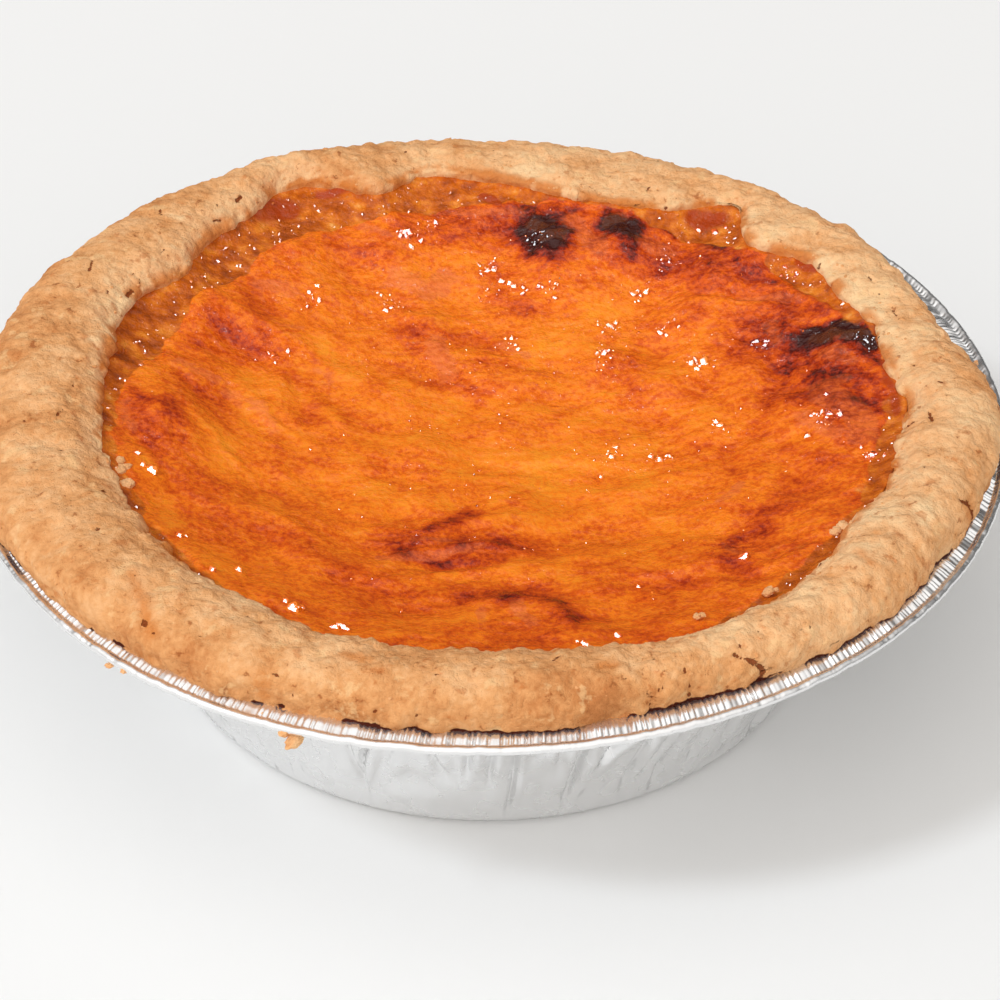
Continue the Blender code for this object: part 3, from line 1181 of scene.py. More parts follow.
        # The dark foot: partly scorch and partly painted shade along the pastry's lowest edge on the foil,
        # strongest at the front right.
        low = smooth_step(spots[..., 2] - self.shape.rim_lift(radius, azimuth), 0.0324, 0.0316)
        patch = lumps(spots, 0.0060, 31.0) + 0.9 * lumps(spots, 0.0019, 53.0)
        patch = smooth_step(patch + bump_sum(azimuth, self.scorch_and_shade_bumps), 0.12, 0.60)
        seep = lumps(spots, 0.0026, 37.0, octaves=2) + bump_sum(azimuth, self.seep_bumps)
        seep = smooth_step(to_edge, 0.0016, 0.0002) * smooth_step(seep, 0.05, 0.45)
        values = {
            "toast": toast,
            "pit": np.maximum(dark, crack),
            # burn holds the foot's scorch and painted shade.
            "burn": low * patch * smooth_step(radius, 0.0520, 0.0560),
            "stain": np.clip(stroke_sum(worn_x, worn_y, self.stains) * outside + 0.8 * seep, 0.0, 0.9),
        }
        full = {}
        for name, numbers in values.items():
            full[name] = np.zeros((rows, columns))
            full[name][active] = numbers
        sheet = Sheet("pastry_case", self.columns, rows - 1)
        sheet.bend(bent, full)
        sheet.close()
        return show(sheet.mesh, self.finish, Slot.PASTRY, Node.CRUST)


@dataclass
class Filling:
    """The baked filling: a dished, wrinkled skin over a body that fills the pastry case."""

    shape: PieShape
    finish: bpy.types.Material
    cells: int = 300
    floor_height: float = 0.0274
    dish_power: float = 2.7
    skin_drop: float = 0.0003
    wrinkle: float = 0.0009
    wrinkle_size: float = 0.0085
    broad_depth: float = 0.00042
    middle_depth: float = 0.00020
    fine_depth: float = 0.00005
    groove_depth: float = 0.00009
    ridge_depth: float = 0.0009
    blister_depth: float = 0.0005
    bake_base: float = 0.328
    points: Array = field(init=False)
    bake: Array = field(init=False)
    syrup: Array = field(init=False)
    swellings: Sequence[Stroke] = (
        Stroke(2.8, 0.9, 7.4, 38.6),
        Stroke(2.2, 0.8, 17.9, 38.4),
        Stroke(3.0, 0.8, 44.4, 12.6),
        Stroke(4.2, 1.4, 7.3, 33.8),
        Stroke(3.6, 1.2, 17.7, 35.3),
        Stroke(4.0, 0.8, 27.8, 32.8),
        Stroke(4.4, 1.3, 44.4, 9.5),
        Stroke(6.0, 1.0, 42.1, -2.3),
        Stroke(5.0, 1.4, 5.0, -39.5),
        Stroke(5.5, 0.9, -3.5, -21.5),
        Stroke(6.0, 1.3, -39.6, -2.8),
        Stroke(5.5, 0.9, -24.7, 34.1),
        Stroke(13.0, -1.0, 11.0, -8.0),
    )
    ridges: Sequence[Stroke] = (
        Stroke(0.8, 0.28, -6.6, -20.3, 2.0, -18.0),
        Stroke(0.8, 0.44, -10.6, -26.6, -5.6, -25.4, -0.7, -23.8, 4.3, -25.4),
        Stroke(0.6, 0.20, -12.7, -32.4, -5.5, -30.4, -2.1, -29.8),
        Stroke(1.2, 0.48, -1.2, -37.8, 3.0, -35.8, 6.3, -37.8, 9.2, -43.0),
        Stroke(1.2, 0.36, -35.6, 12.7, -30.9, 8.1, -26.1, -0.2),
        Stroke(1.2, 0.28, -20.9, 5.0, -17.6, 1.1),
        Stroke(0.8, 0.28, -37.0, 0.9, -33.4, -4.7, -29.7, -9.3),
        Stroke(1.0, 0.24, -34.1, 22.4, -28.9, 19.8, -23.3, 16.6),
        Stroke(1.0, 0.24, -11.9, 24.0, -2.3, 23.3, 3.1, 18.1),
        Stroke(0.8, 0.16, -7.3, 10.2, 1.5, 9.4),
        Stroke(0.8, 0.24, 27.8, -25.7, 32.2, -21.4),
        Stroke(0.8, 0.24, 17.2, -32.1, 26.4, -29.9, 34.3, -29.1),
        Stroke(0.8, 0.32, 27.7, 28.4, 39.0, 24.3, 45.3, 16.5),
        Stroke(0.8, 0.20, 27.4, 24.4, 37.5, 21.2),
        Stroke(1.2, 0.32, 38.3, 16.1, 38.7, 5.9),
        Stroke(1.0, 0.24, 41.1, 5.4, 47.0, 2.3),
        Stroke(2.1, 0.40, 42.0, 2.1, 44.4, -7.0),
        Stroke(1.0, 0.16, 18.2, -10.9, 25.4, -9.8, 34.1, -5.3),
        Stroke(0.8, 0.16, 15.5, -19.1, 24.9, -17.3),
        Stroke(1.0, 0.16, 14.5, 21.1, 19.4, 16.2, 18.5, 7.7),
    )
    hollows: Sequence[Stroke] = (
        Stroke(1.2, 0.32, -34.7, 17.2, -28.6, 14.3, -24.6, 9.5, -22.4, 1.3),
        Stroke(0.8, 0.20, -38.7, 7.2, -35.5, 3.6),
        Stroke(1.3, 0.24, -42.2, -2.2, -37.4, -7.5),
        Stroke(0.8, 0.32, -9.2, -28.8, 1.3, -28.4),
        Stroke(0.8, 0.20, -5.6, -22.8, -1.0, -20.6),
        Stroke(1.0, 0.20, -5.4, -36.5, 1.3, -39.2),
        Stroke(1.3, 0.28, 28.9, -33.5, 27.7, -31.7),
        Stroke(1.3, 0.24, 36.0, 19.3, 36.3, 6.7, 33.5, 2.4),
        Stroke(0.6, 0.20, 26.2, 25.9, 40.0, 21.4),
    )
    burns: Sequence[Stroke] = (
        Stroke(4.5, 0.24, -4.0, 42.0, 8.0, 40.0, 20.0, 36.5, 31.0, 31.0, 39.0, 22.0, 44.5, 11.0, 46.0, 0.0),
        Stroke(5.5, 0.24, 34.0, 17.0, 40.0, 11.0, 42.0, 2.0),
        Stroke(4.0, 0.22, 41.5, 4.0, 43.0, -7.0),
        Stroke(4.5, 0.08, 12.0, -36.0, 26.0, -31.0, 38.0, -20.0),
        Stroke(3.5, 0.08, -16.0, -32.0, -4.0, -36.0, 10.0, -38.0),
        Stroke(1.8, 0.18, -34.8, 18.5, -30.3, 17.1, -26.3, 14.1, -23.5, 8.6, -21.7, 1.8),
        Stroke(1.2, 0.08, -32.6, 25.7, -29.2, 24.5),
        Stroke(1.9, 0.20, -42.3, -1.0, -39.3, -1.3, -37.0, -4.7),
        Stroke(1.3, 0.14, -40.4, -8.3, -36.4, -7.7),
        Stroke(0.9, 0.12, -38.7, 7.2, -35.8, 4.2, -32.8, 2.6),
        Stroke(1.5, 0.08, -35.1, -15.1, -29.1, -17.5),
        Stroke(2.4, 0.12, -29.9, -22.2, -21.6, -26.9, -12.3, -31.1),
        Stroke(1.1, 0.10, -26.4, -4.8, -19.1, -7.8, -10.6, -10.3),
        Stroke(1.1, 0.12, -21.0, 37.8, -13.6, 36.1),
        Stroke(1.2, 0.14, -10.1, 41.5, -6.1, 40.9),
        Stroke(1.2, 0.16, -12.0, 21.5, -6.2, 20.8, -1.0, 19.6, 3.1, 16.1),
        Stroke(1.2, 0.12, -7.3, 10.2, -2.3, 9.4),
        Stroke(1.2, 0.08, -2.3, 20.6, 0.9, 10.0),
        Stroke(1.2, 0.12, 2.2, 14.0, 7.2, 12.2),
        Stroke(0.8, 0.16, 5.6, 25.6),
        Stroke(2.8, 0.98, 6.2, 40.4, 7.4, 38.4, 8.5, 36.6),
        Stroke(1.3, 0.60, 9.1, 39.1, 10.8, 38.4),
        Stroke(1.3, 0.44, 4.8, 38.4, 6.3, 34.9, 9.5, 33.6),
        Stroke(2.3, 0.98, 16.4, 39.6, 18.7, 38.4),
        Stroke(1.6, 0.70, 17.8, 37.1, 18.8, 35.9),
        Stroke(0.8, 0.32, 18.8, 35.1, 19.1, 33.1),
        Stroke(0.9, 0.30, 1.7, 44.7, 9.7, 43.0, 16.3, 41.1, 20.9, 39.4, 26.2, 37.8, 30.7, 35.4, 32.3, 30.8),
        Stroke(1.5, 0.24, 9.2, 42.1, 14.9, 38.4),
        Stroke(1.1, 0.42, 28.4, 36.4, 30.8, 33.8),
        Stroke(1.2, 0.34, 32.9, 29.5, 39.0, 25.4, 43.6, 19.9, 45.8, 16.2),
        Stroke(1.1, 0.18, 27.6, 26.7, 38.8, 22.7),
        Stroke(1.5, 0.10, 26.0, 22.0, 37.2, 18.4),
        Stroke(2.7, 0.92, 41.0, 13.6, 44.8, 12.5, 46.6, 11.0),
        Stroke(1.7, 0.90, 44.4, 14.6, 46.7, 12.4, 48.1, 9.3),
        Stroke(1.2, 0.48, 46.3, 8.6, 48.3, 5.4),
        Stroke(0.9, 0.26, 40.2, 6.6, 44.1, 5.0, 47.4, 2.5),
        Stroke(1.2, 0.36, 43.8, 0.6, 46.1, -2.0, 47.3, -4.3),
        Stroke(1.2, 0.20, 47.5, -6.2, 45.9, -12.3),
        Stroke(1.5, 0.20, 37.3, 18.8, 37.8, 13.1, 37.0, 6.4, 34.2, 2.2),
        Stroke(1.2, 0.08, 27.7, 17.1, 26.6, 5.9),
        Stroke(1.1, 0.16, 37.1, 1.2, 36.7, -2.8),
        Stroke(1.5, 0.10, 33.2, -1.8, 37.4, -8.6),
        Stroke(1.8, 0.12, 35.2, -6.8, 43.9, -15.8),
        Stroke(1.5, 0.12, 36.8, -15.5, 43.5, -22.8),
        Stroke(1.3, 0.24, 27.8, -26.2, 31.3, -22.5, 33.5, -20.3),
        Stroke(1.5, 0.26, 27.3, -30.1, 29.0, -32.5),
        Stroke(1.2, 0.16, 17.1, -34.9, 23.8, -33.9, 31.7, -35.5),
        Stroke(0.9, 0.14, 19.8, -26.4, 26.6, -26.3, 31.6, -24.6),
        Stroke(0.8, 0.30, 32.1, -38.1, 34.8, -35.8),
        Stroke(0.9, 0.36, 38.0, -32.5, 41.6, -30.0),
        Stroke(1.2, 0.12, 11.4, -36.7, 19.2, -36.7),
        Stroke(1.5, 0.42, -6.8, -21.3, -5.1, -19.4, -2.1, -17.6),
        Stroke(1.3, 0.42, -10.4, -26.0, -5.5, -27.7, 1.9, -27.1),
        Stroke(3.2, 0.32, -10.2, -24.2, 3.7, -23.8),
        Stroke(1.7, 0.46, 1.9, -37.3, 3.6, -35.4, 6.4, -36.4, 9.5, -42.0),
        Stroke(1.7, 0.32, -2.1, -35.9, 5.8, -34.5),
        Stroke(1.8, 0.08, -14.4, -35.0, -0.9, -36.3),
        Stroke(0.9, 0.14, 18.4, 16.3, 18.1, 9.0),
        Stroke(0.9, 0.12, 19.8, 26.0, 25.0, 22.7),
    )
    lights: Sequence[Stroke] = (
        Stroke(4.5, 0.14, -2.2, -6.3, 8.8, -5.0, 18.3, -8.8),
        Stroke(3.9, 0.14, 8.8, 21.1, 14.5, 23.7),
        Stroke(2.7, 0.10, 13.9, 4.3, 19.8, -2.5),
        Stroke(2.1, 0.10, -10.9, 4.5, -4.7, 6.4),
        Stroke(1.8, 0.16, -23.4, 6.5, -19.5, 2.8),
        Stroke(1.5, 0.10, -21.5, 18.1, -18.0, 11.2),
        Stroke(2.1, 0.14, -31.6, 9.0, -26.7, -0.6),
        Stroke(1.1, 0.10, -36.7, 0.2, -32.2, -5.2, -29.8, -8.8),
        Stroke(1.2, 0.12, -31.8, -33.1, -17.5, -39.6),
        Stroke(1.3, 0.14, -41.3, -11.0, -37.7, -19.0, -36.2, -25.3),
        Stroke(1.5, 0.08, -33.1, -12.1, -22.5, -11.6),
        Stroke(2.4, 0.10, 15.7, -14.9, 24.1, -11.3),
        Stroke(1.2, 0.06, -37.3, 21.5, -32.2, 27.6),
        Stroke(1.8, 0.08, 20.8, 5.8, 26.1, 0.7),
        Stroke(0.9, 0.12, 3.6, -31.6, 9.3, -31.4),
        Stroke(0.8, 0.10, -5.5, -30.8, -0.9, -31.6),
        Stroke(2.1, 0.08, -17.8, -8.7, -10.5, -14.5),
    )
    # Painted sheen: patches that stand in for soft reflections on the skin and on the black blisters.
    painted_sheens: Sequence[Stroke] = (
        Stroke(2.2, 0.90, -11.5, 31.8, -7.6, 29.0, -5.6, 31.6),
        Stroke(1.9, 0.90, -6.6, 18.4, -5.1, 12.8),
        Stroke(1.6, 0.70, -29.4, 27.7, -25.7, 27.0),
        Stroke(1.3, 0.70, -38.4, 9.1, -34.0, 7.2),
        Stroke(1.1, 0.60, -44.1, -2.3, -42.7, -6.8),
        Stroke(1.3, 0.70, 2.2, 18.4, 4.7, 16.2),
        Stroke(1.3, 0.60, -16.2, 40.6, -11.4, 38.9),
        Stroke(0.8, 0.80, -7.0, 44.7, 4.4, 43.4),
        Stroke(1.6, 0.95, 11.0, 40.8, 14.8, 35.1),
        Stroke(1.3, 0.90, 20.2, 36.3, 23.8, 34.7),
        Stroke(1.1, 0.80, 29.1, 35.2),
        Stroke(1.1, 0.70, 32.8, 23.4, 40.1, 22.6),
        Stroke(1.3, 0.60, 36.0, 18.5, 36.5, 15.1),
        Stroke(1.3, 0.80, 42.4, 9.5, 44.8, 6.3),
        Stroke(1.3, 0.85, 40.0, 3.7, 43.3, 3.2),
        Stroke(2.1, 1.00, 41.1, 0.8, 44.6, -3.0, 44.7, -8.5),
        Stroke(1.5, 0.70, 38.0, -2.2, 41.7, -7.6),
        Stroke(0.8, 0.90, -12.4, -27.3, -5.6, -26.3, -0.7, -24.7),
        Stroke(0.6, 0.70, -8.9, -23.2, -4.9, -23.2),
        Stroke(0.6, 0.50, -0.3, -23.2, 3.7, -25.4),
        Stroke(1.2, 0.80, 3.0, -37.8, 4.8, -42.3),
        Stroke(1.1, 0.50, -0.9, -39.2, -0.7, -42.8),
        Stroke(1.2, 0.60, 30.1, -13.9, 27.5, -17.2),
        Stroke(0.9, 0.50, 26.9, -25.9, 29.5, -30.8),
        Stroke(1.3, 0.40, 16.8, -39.7, 22.4, -38.4),
        Stroke(1.8, 0.55, -32.0, 5.6, -27.9, 2.4, -26.0, -1.5),
        Stroke(1.3, 0.50, -22.5, 13.7, -19.9, 10.1),
        Stroke(1.2, 0.50, -27.9, 20.6, -24.1, 19.7),
        Stroke(0.9, 1.00, 5.4, 40.7, 7.0, 39.4),
        Stroke(0.9, 1.00, 7.6, 37.2, 9.6, 37.7),
        Stroke(0.9, 1.00, 16.0, 39.9, 17.9, 40.3),
        Stroke(0.8, 0.90, 15.4, 37.3),
        Stroke(1.3, 1.00, 41.3, 13.1, 44.9, 11.7),
        Stroke(0.8, 0.90, 46.7, 12.9, 47.2, 11.1),
    )
    reds: Sequence[Stroke] = (
        Stroke(1.6, 1.0, 27.6, 40.6, 30.6, 40.4),
        Stroke(2.2, 1.0, -30.6, 42.0, -27.0, 43.5),
        Stroke(1.0, 0.8, -22.6, 46.8, -16.0, 47.5),
        Stroke(0.9, 0.9, -1.0, 47.0, 1.2, 45.5),
        Stroke(0.9, 0.9, 40.5, 29.0, 42.3, 27.0),
        Stroke(0.8, 0.7, 48.6, 5.4, 49.2, -5.0),
    )
    ambers: Sequence[Stroke] = (
        Stroke(1.8, 0.80, 44.3, 21.6, 45.7, 18.6, 46.7, 15.2),
        Stroke(1.6, 0.80, 48.8, -2.5, 49.4, -7.8, 48.8, -12.6, 47.2, -16.3),
        Stroke(1.3, 0.50, 44.9, -17.3, 43.4, -19.8),
        Stroke(1.2, 0.90, -44.0, -20.7, -42.3, -24.1, -40.4, -27.4, -38.6, -30.4),
        Stroke(1.1, 0.60, -37.6, -32.0, -35.2, -35.5),
        Stroke(1.0, 0.50, -33.2, -37.6, -30.0, -40.8),
        Stroke(0.9, 0.30, 23.5, -22.0, 24.8, -20.1),
        Stroke(1.2, 0.40, 30.8, -31.3, 32.6, -29.1),
        Stroke(1.2, 0.40, 35.3, -30.2, 38.9, -27.6),
    )
    glints: Sequence[Stroke] = (
        Stroke(1.3, 1.20, -11.2, 39.7, -10.1, 38.5),
        Stroke(1.1, 0.80, -8.4, 41.9, -7.4, 40.9),
        Stroke(1.3, 1.10, -0.5, 34.9, 0.0, 33.0),
        Stroke(1.6, 1.00, -1.3, 31.2, 4.2, 28.1),
        Stroke(1.2, 1.10, 7.9, 30.0, 8.4, 27.7),
        Stroke(1.0, 1.20, 5.6, 37.7, 7.2, 37.0),
        Stroke(1.3, 1.10, 14.5, 21.5, 16.0, 21.1),
        Stroke(1.3, 1.20, 14.3, 16.6, 15.0, 13.4),
        Stroke(1.3, 1.50, 26.8, 13.5, 27.7, 11.7),
        Stroke(1.2, 0.80, 22.3, 19.9, 24.2, 20.6),
        Stroke(1.4, 0.90, 19.4, 27.8, 21.4, 27.8),
        Stroke(1.2, 0.70, 22.7, 34.0, 23.7, 32.7),
        Stroke(1.2, 0.90, 17.4, -0.6, 13.5, -7.5),
        Stroke(1.2, 0.90, 20.3, -5.2, 20.9, -5.7),
        Stroke(1.2, 0.80, 1.3, 19.5, 5.4, 16.8),
        Stroke(1.1, 0.60, 27.9, 0.4, 28.6, -2.2),
        Stroke(1.3, 1.20, 39.4, -3.1, 41.6, -4.3),
        Stroke(1.0, 1.20, 45.0, -12.3, 45.3, -13.8),
        Stroke(1.4, 1.30, 45.8, 10.1, 48.3, 9.3),
        Stroke(1.1, 0.90, 34.5, 15.3, 34.9, 14.4),
        Stroke(1.1, 1.00, 38.7, 27.6, 39.9, 27.0),
        Stroke(1.2, 0.80, -24.4, 25.7, -20.7, 26.6),
        Stroke(1.4, 0.90, -14.1, 28.3, -11.7, 25.9),
        Stroke(1.2, 0.60, -29.5, 14.6, -25.1, 14.8),
    )

    def disc(self) -> tuple[Array, Array]:
        """A square grid spread over a disc.

        Returns:
            Azimuth of each point, and its share of the way out.
        """
        line = np.linspace(-1.0, 1.0, self.cells + 1)
        across, away = np.meshgrid(line, line)
        wide = np.abs(across) > np.abs(away)
        big = np.where(wide, across, away)
        small = np.where(wide, away, across)
        ratio = small / np.where(np.abs(big) < 1e-9, 1.0, big)
        turn = np.where(wide, math.pi / 4.0 * ratio, math.pi / 2.0 - math.pi / 4.0 * ratio)
        return turn + np.where(big < 0.0, math.pi, 0.0), np.abs(big)

    def drawn(self, x: Array, y: Array, grain: float, stretch: float, seed: float, octaves: int = 1) -> Array:
        """Noise that runs the way the skin was drawn: across in front, and down the slopes at the sides.

        Args:
            x: Places across.
            y: Places away from the viewer.
            grain: Size of the largest lumps, across the way that they run.
            stretch: How many times longer they are along it.
            seed: Moves the pattern.
            octaves: How many layers there are.

        Returns:
            The noise at each place, from about -1 to 1.
        """
        left = smooth_step(x, -0.010, -0.024) * smooth_step(y, 0.036, 0.022)
        right = smooth_step(x, 0.022, 0.034) * smooth_step(y, -0.024, -0.010)
        front = lumps(plan_points(x, y, 0.0, stretch), grain, seed, octaves)
        down_left = lumps(plan_points(x, y, -52.0, stretch), grain, seed + 1.0, octaves)
        down_right = lumps(plan_points(x, y, -78.0, stretch * 0.7), grain, seed + 2.0, octaves)
        return mix(mix(front, down_left, left), down_right, right)

    def dish(self, x: Array, y: Array, share: Array) -> Array:
        """Height of the skin without its fine creases.

        Args:
            x: Places across.
            y: Places away from the viewer.
            share: How far out each place lies, from 0 to 1.

        Returns:
            The height at each place.
        """
        height = mix(self.floor_height, self.shape.edge_height - self.skin_drop, share**self.dish_power)
        fold = self.wrinkle * lumps(plan_points(x, y), self.wrinkle_size, 9.0)
        held = smooth_step(share, 1.0, 0.86)
        swelling = 0.001 * stroke_sum(x, y, self.swellings)
        return height + held * fold + swelling * (0.35 + 0.65 * held)

    def build(self) -> bpy.types.Object:
        """Makes the filling with its creases and its colour values.

        Returns:
            The piece.
        """
        azimuth, share = self.disc()
        edge = self.shape.edge_radius(azimuth)
        radius = share * (edge + 0.0004)
        x, y = radius * np.cos(azimuth), radius * np.sin(azimuth)
        plan = plan_points(x, y)
        skin = np.minimum(self.shape.skin_radius(azimuth), edge + 0.002)
        room = smooth_step(edge - skin, 0.0002, 0.0020)
        beyond = smooth_step(radius - skin, -0.0010, 0.0008) * room
        worn_x = x + 0.0006 * lumps(plan, 0.0030, 61.0, octaves=2)
        worn_y = y + 0.0006 * lumps(plan, 0.0030, 67.0, octaves=2)
        bent_x = x + 0.0020 * lumps(plan, 0.0070, 71.0)
        bent_y = y + 0.0020 * lumps(plan, 0.0070, 77.0)
        broad = self.drawn(bent_x, bent_y, 0.0050, 1.8, 2.0)
        middle = self.drawn(bent_x, bent_y, 0.0022, 1.9, 6.0)
        fine = self.drawn(bent_x, bent_y, 0.0012, 2.0, 10.0)
        groove = np.exp(-((middle / 0.10) ** 2)) * smooth_step(lumps(plan, 0.0060, 91.0), -0.10, 0.30)
        ridge = stroke_sum(worn_x, worn_y, self.ridges) - stroke_sum(worn_x, worn_y, self.hollows)
        blotch = 0.92 + 0.30 * lumps(plan, 0.0022, 95.0)
        burn = stroke_peak(worn_x, worn_y, self.burns) * blotch
        skin_relief = self.broad_depth * broad + self.middle_depth * middle
        skin_relief += self.fine_depth * fine - self.groove_depth * groove + self.ridge_depth * ridge
        blister = smooth_step(burn, 0.35, 0.6) * lumps(plan, 0.0018, 19.0, octaves=2)
        skin_relief += self.blister_depth * blister
        sink = 0.0004 * (1.0 - 0.75 * smooth_step(edge - radius, 0.0022, 0.0))
        syrup_relief = 0.00015 * lumps(plan, 0.0015, 23.0) + 0.00030 * lumps(plan, 0.0027, 43.0) - sink
        height = self.dish(x, y, share) + mix(skin_relief, syrup_relief, beyond)
        bake = self.bake_base + 0.15 * self.drawn(x, y, 0.0085, 1.6, 17.0, octaves=3)
        # The grooves are darkened in colour too: painted shade along the creases.
        bake += 0.13 * self.drawn(bent_x, bent_y, 0.0026, 1.6, 27.0, octaves=3) + 0.10 * groove - 0.06 * broad
        bake += 0.07 * smooth_step(share, 0.35, 0.90) + burn - stroke_sum(worn_x, worn_y, self.lights)
        # Painted shade: along the front edge, under the overhanging pastry rim, the skin is turned to the
        # amber of the syrup.
        rim_shade = 0.8 * smooth_step(edge - radius, 0.0011, 0.0001) * smooth_step(y, -0.045, -0.030)
        amber = np.maximum(np.maximum(beyond, rim_shade), stroke_peak(worn_x, worn_y, self.ambers))
        cluster = 0.9 + 0.9 * lumps(plan, 0.0048, 99.0)
        wet = (0.46 + 0.34 * smooth_step(y, -0.012, 0.028)) * cluster
        wet += 0.45 * stroke_sum(x, y, self.glints) + 0.25 * beyond
        values = {
            "bake": bake,
            # Where the painted sheen lies.
            "painted_sheen": np.clip(stroke_peak(worn_x, worn_y, self.painted_sheens), 0.0, 1.0),
            # The syrup value also carries the painted rim shade along the front edge.
            "syrup": np.clip(amber, 0.0, 1.0),
            "clear": 0.12 * lumps(plan, 0.0040, 103.0, octaves=2),
            "red": np.clip(stroke_peak(worn_x, worn_y, self.reds), 0.0, 1.0),
            "wet": np.clip(wet, 0.15, 1.6),
        }
        self.points = np.stack([x, y, height], axis=-1)
        self.bake = bake
        self.syrup = beyond * smooth_step(edge - radius, 0.0, 0.0006)
        sheet = Sheet("filling_skin", self.cells, self.cells)
        sheet.bend(self.points, values)
        self.close_below(sheet.mesh)
        return show(sheet.mesh, self.finish, Slot.FILLING, Node.FILLING)

    def nearest(self, x: float, y: float) -> tuple[int, int]:
        """The skin's point nearest to a place seen from above.

        Args:
            x: The place across.
            y: The place away from the viewer.

        Returns:
            The point's row and column.
        """
        away = (self.points[..., 0] - x) ** 2 + (self.points[..., 1] - y) ** 2
        row, column = np.unravel_index(np.argmin(away), away.shape)
        return int(row), int(column)

    def close_below(self, mesh: bpy.types.Mesh) -> None:
        """Draws the skin's edge down the pastry case and closes it under the filling.

        Args:
            mesh: The skin's mesh.
        """
        body = bmesh.new()
        body.from_mesh(mesh)
        edges = [edge for edge in body.edges if edge.is_boundary]
        floor = 2.0 * self.shape.gap + self.shape.foil + self.shape.case_thickness
        for height in (0.0320, 0.0200, 0.0075, floor):
            drawn = bmesh.ops.extrude_edge_only(body, edges=edges)["geom"]
            edges = [part for part in drawn if isinstance(part, bmesh.types.BMEdge) and part.is_boundary]
            for vertex in {end for edge in edges for end in edge.verts}:
                azimuth = math.atan2(vertex.co.y, vertex.co.x)
                radius = float(self.shape.case_wall(np.array(height), np.array(azimuth))) - self.shape.gap
                vertex.co = (radius * math.cos(azimuth), radius * math.sin(azimuth), height)
        bmesh.ops.edgeloop_fill(body, edges=edges)
        bmesh.ops.recalc_face_normals(body, faces=body.faces)
        body.to_mesh(mesh)
        body.free()


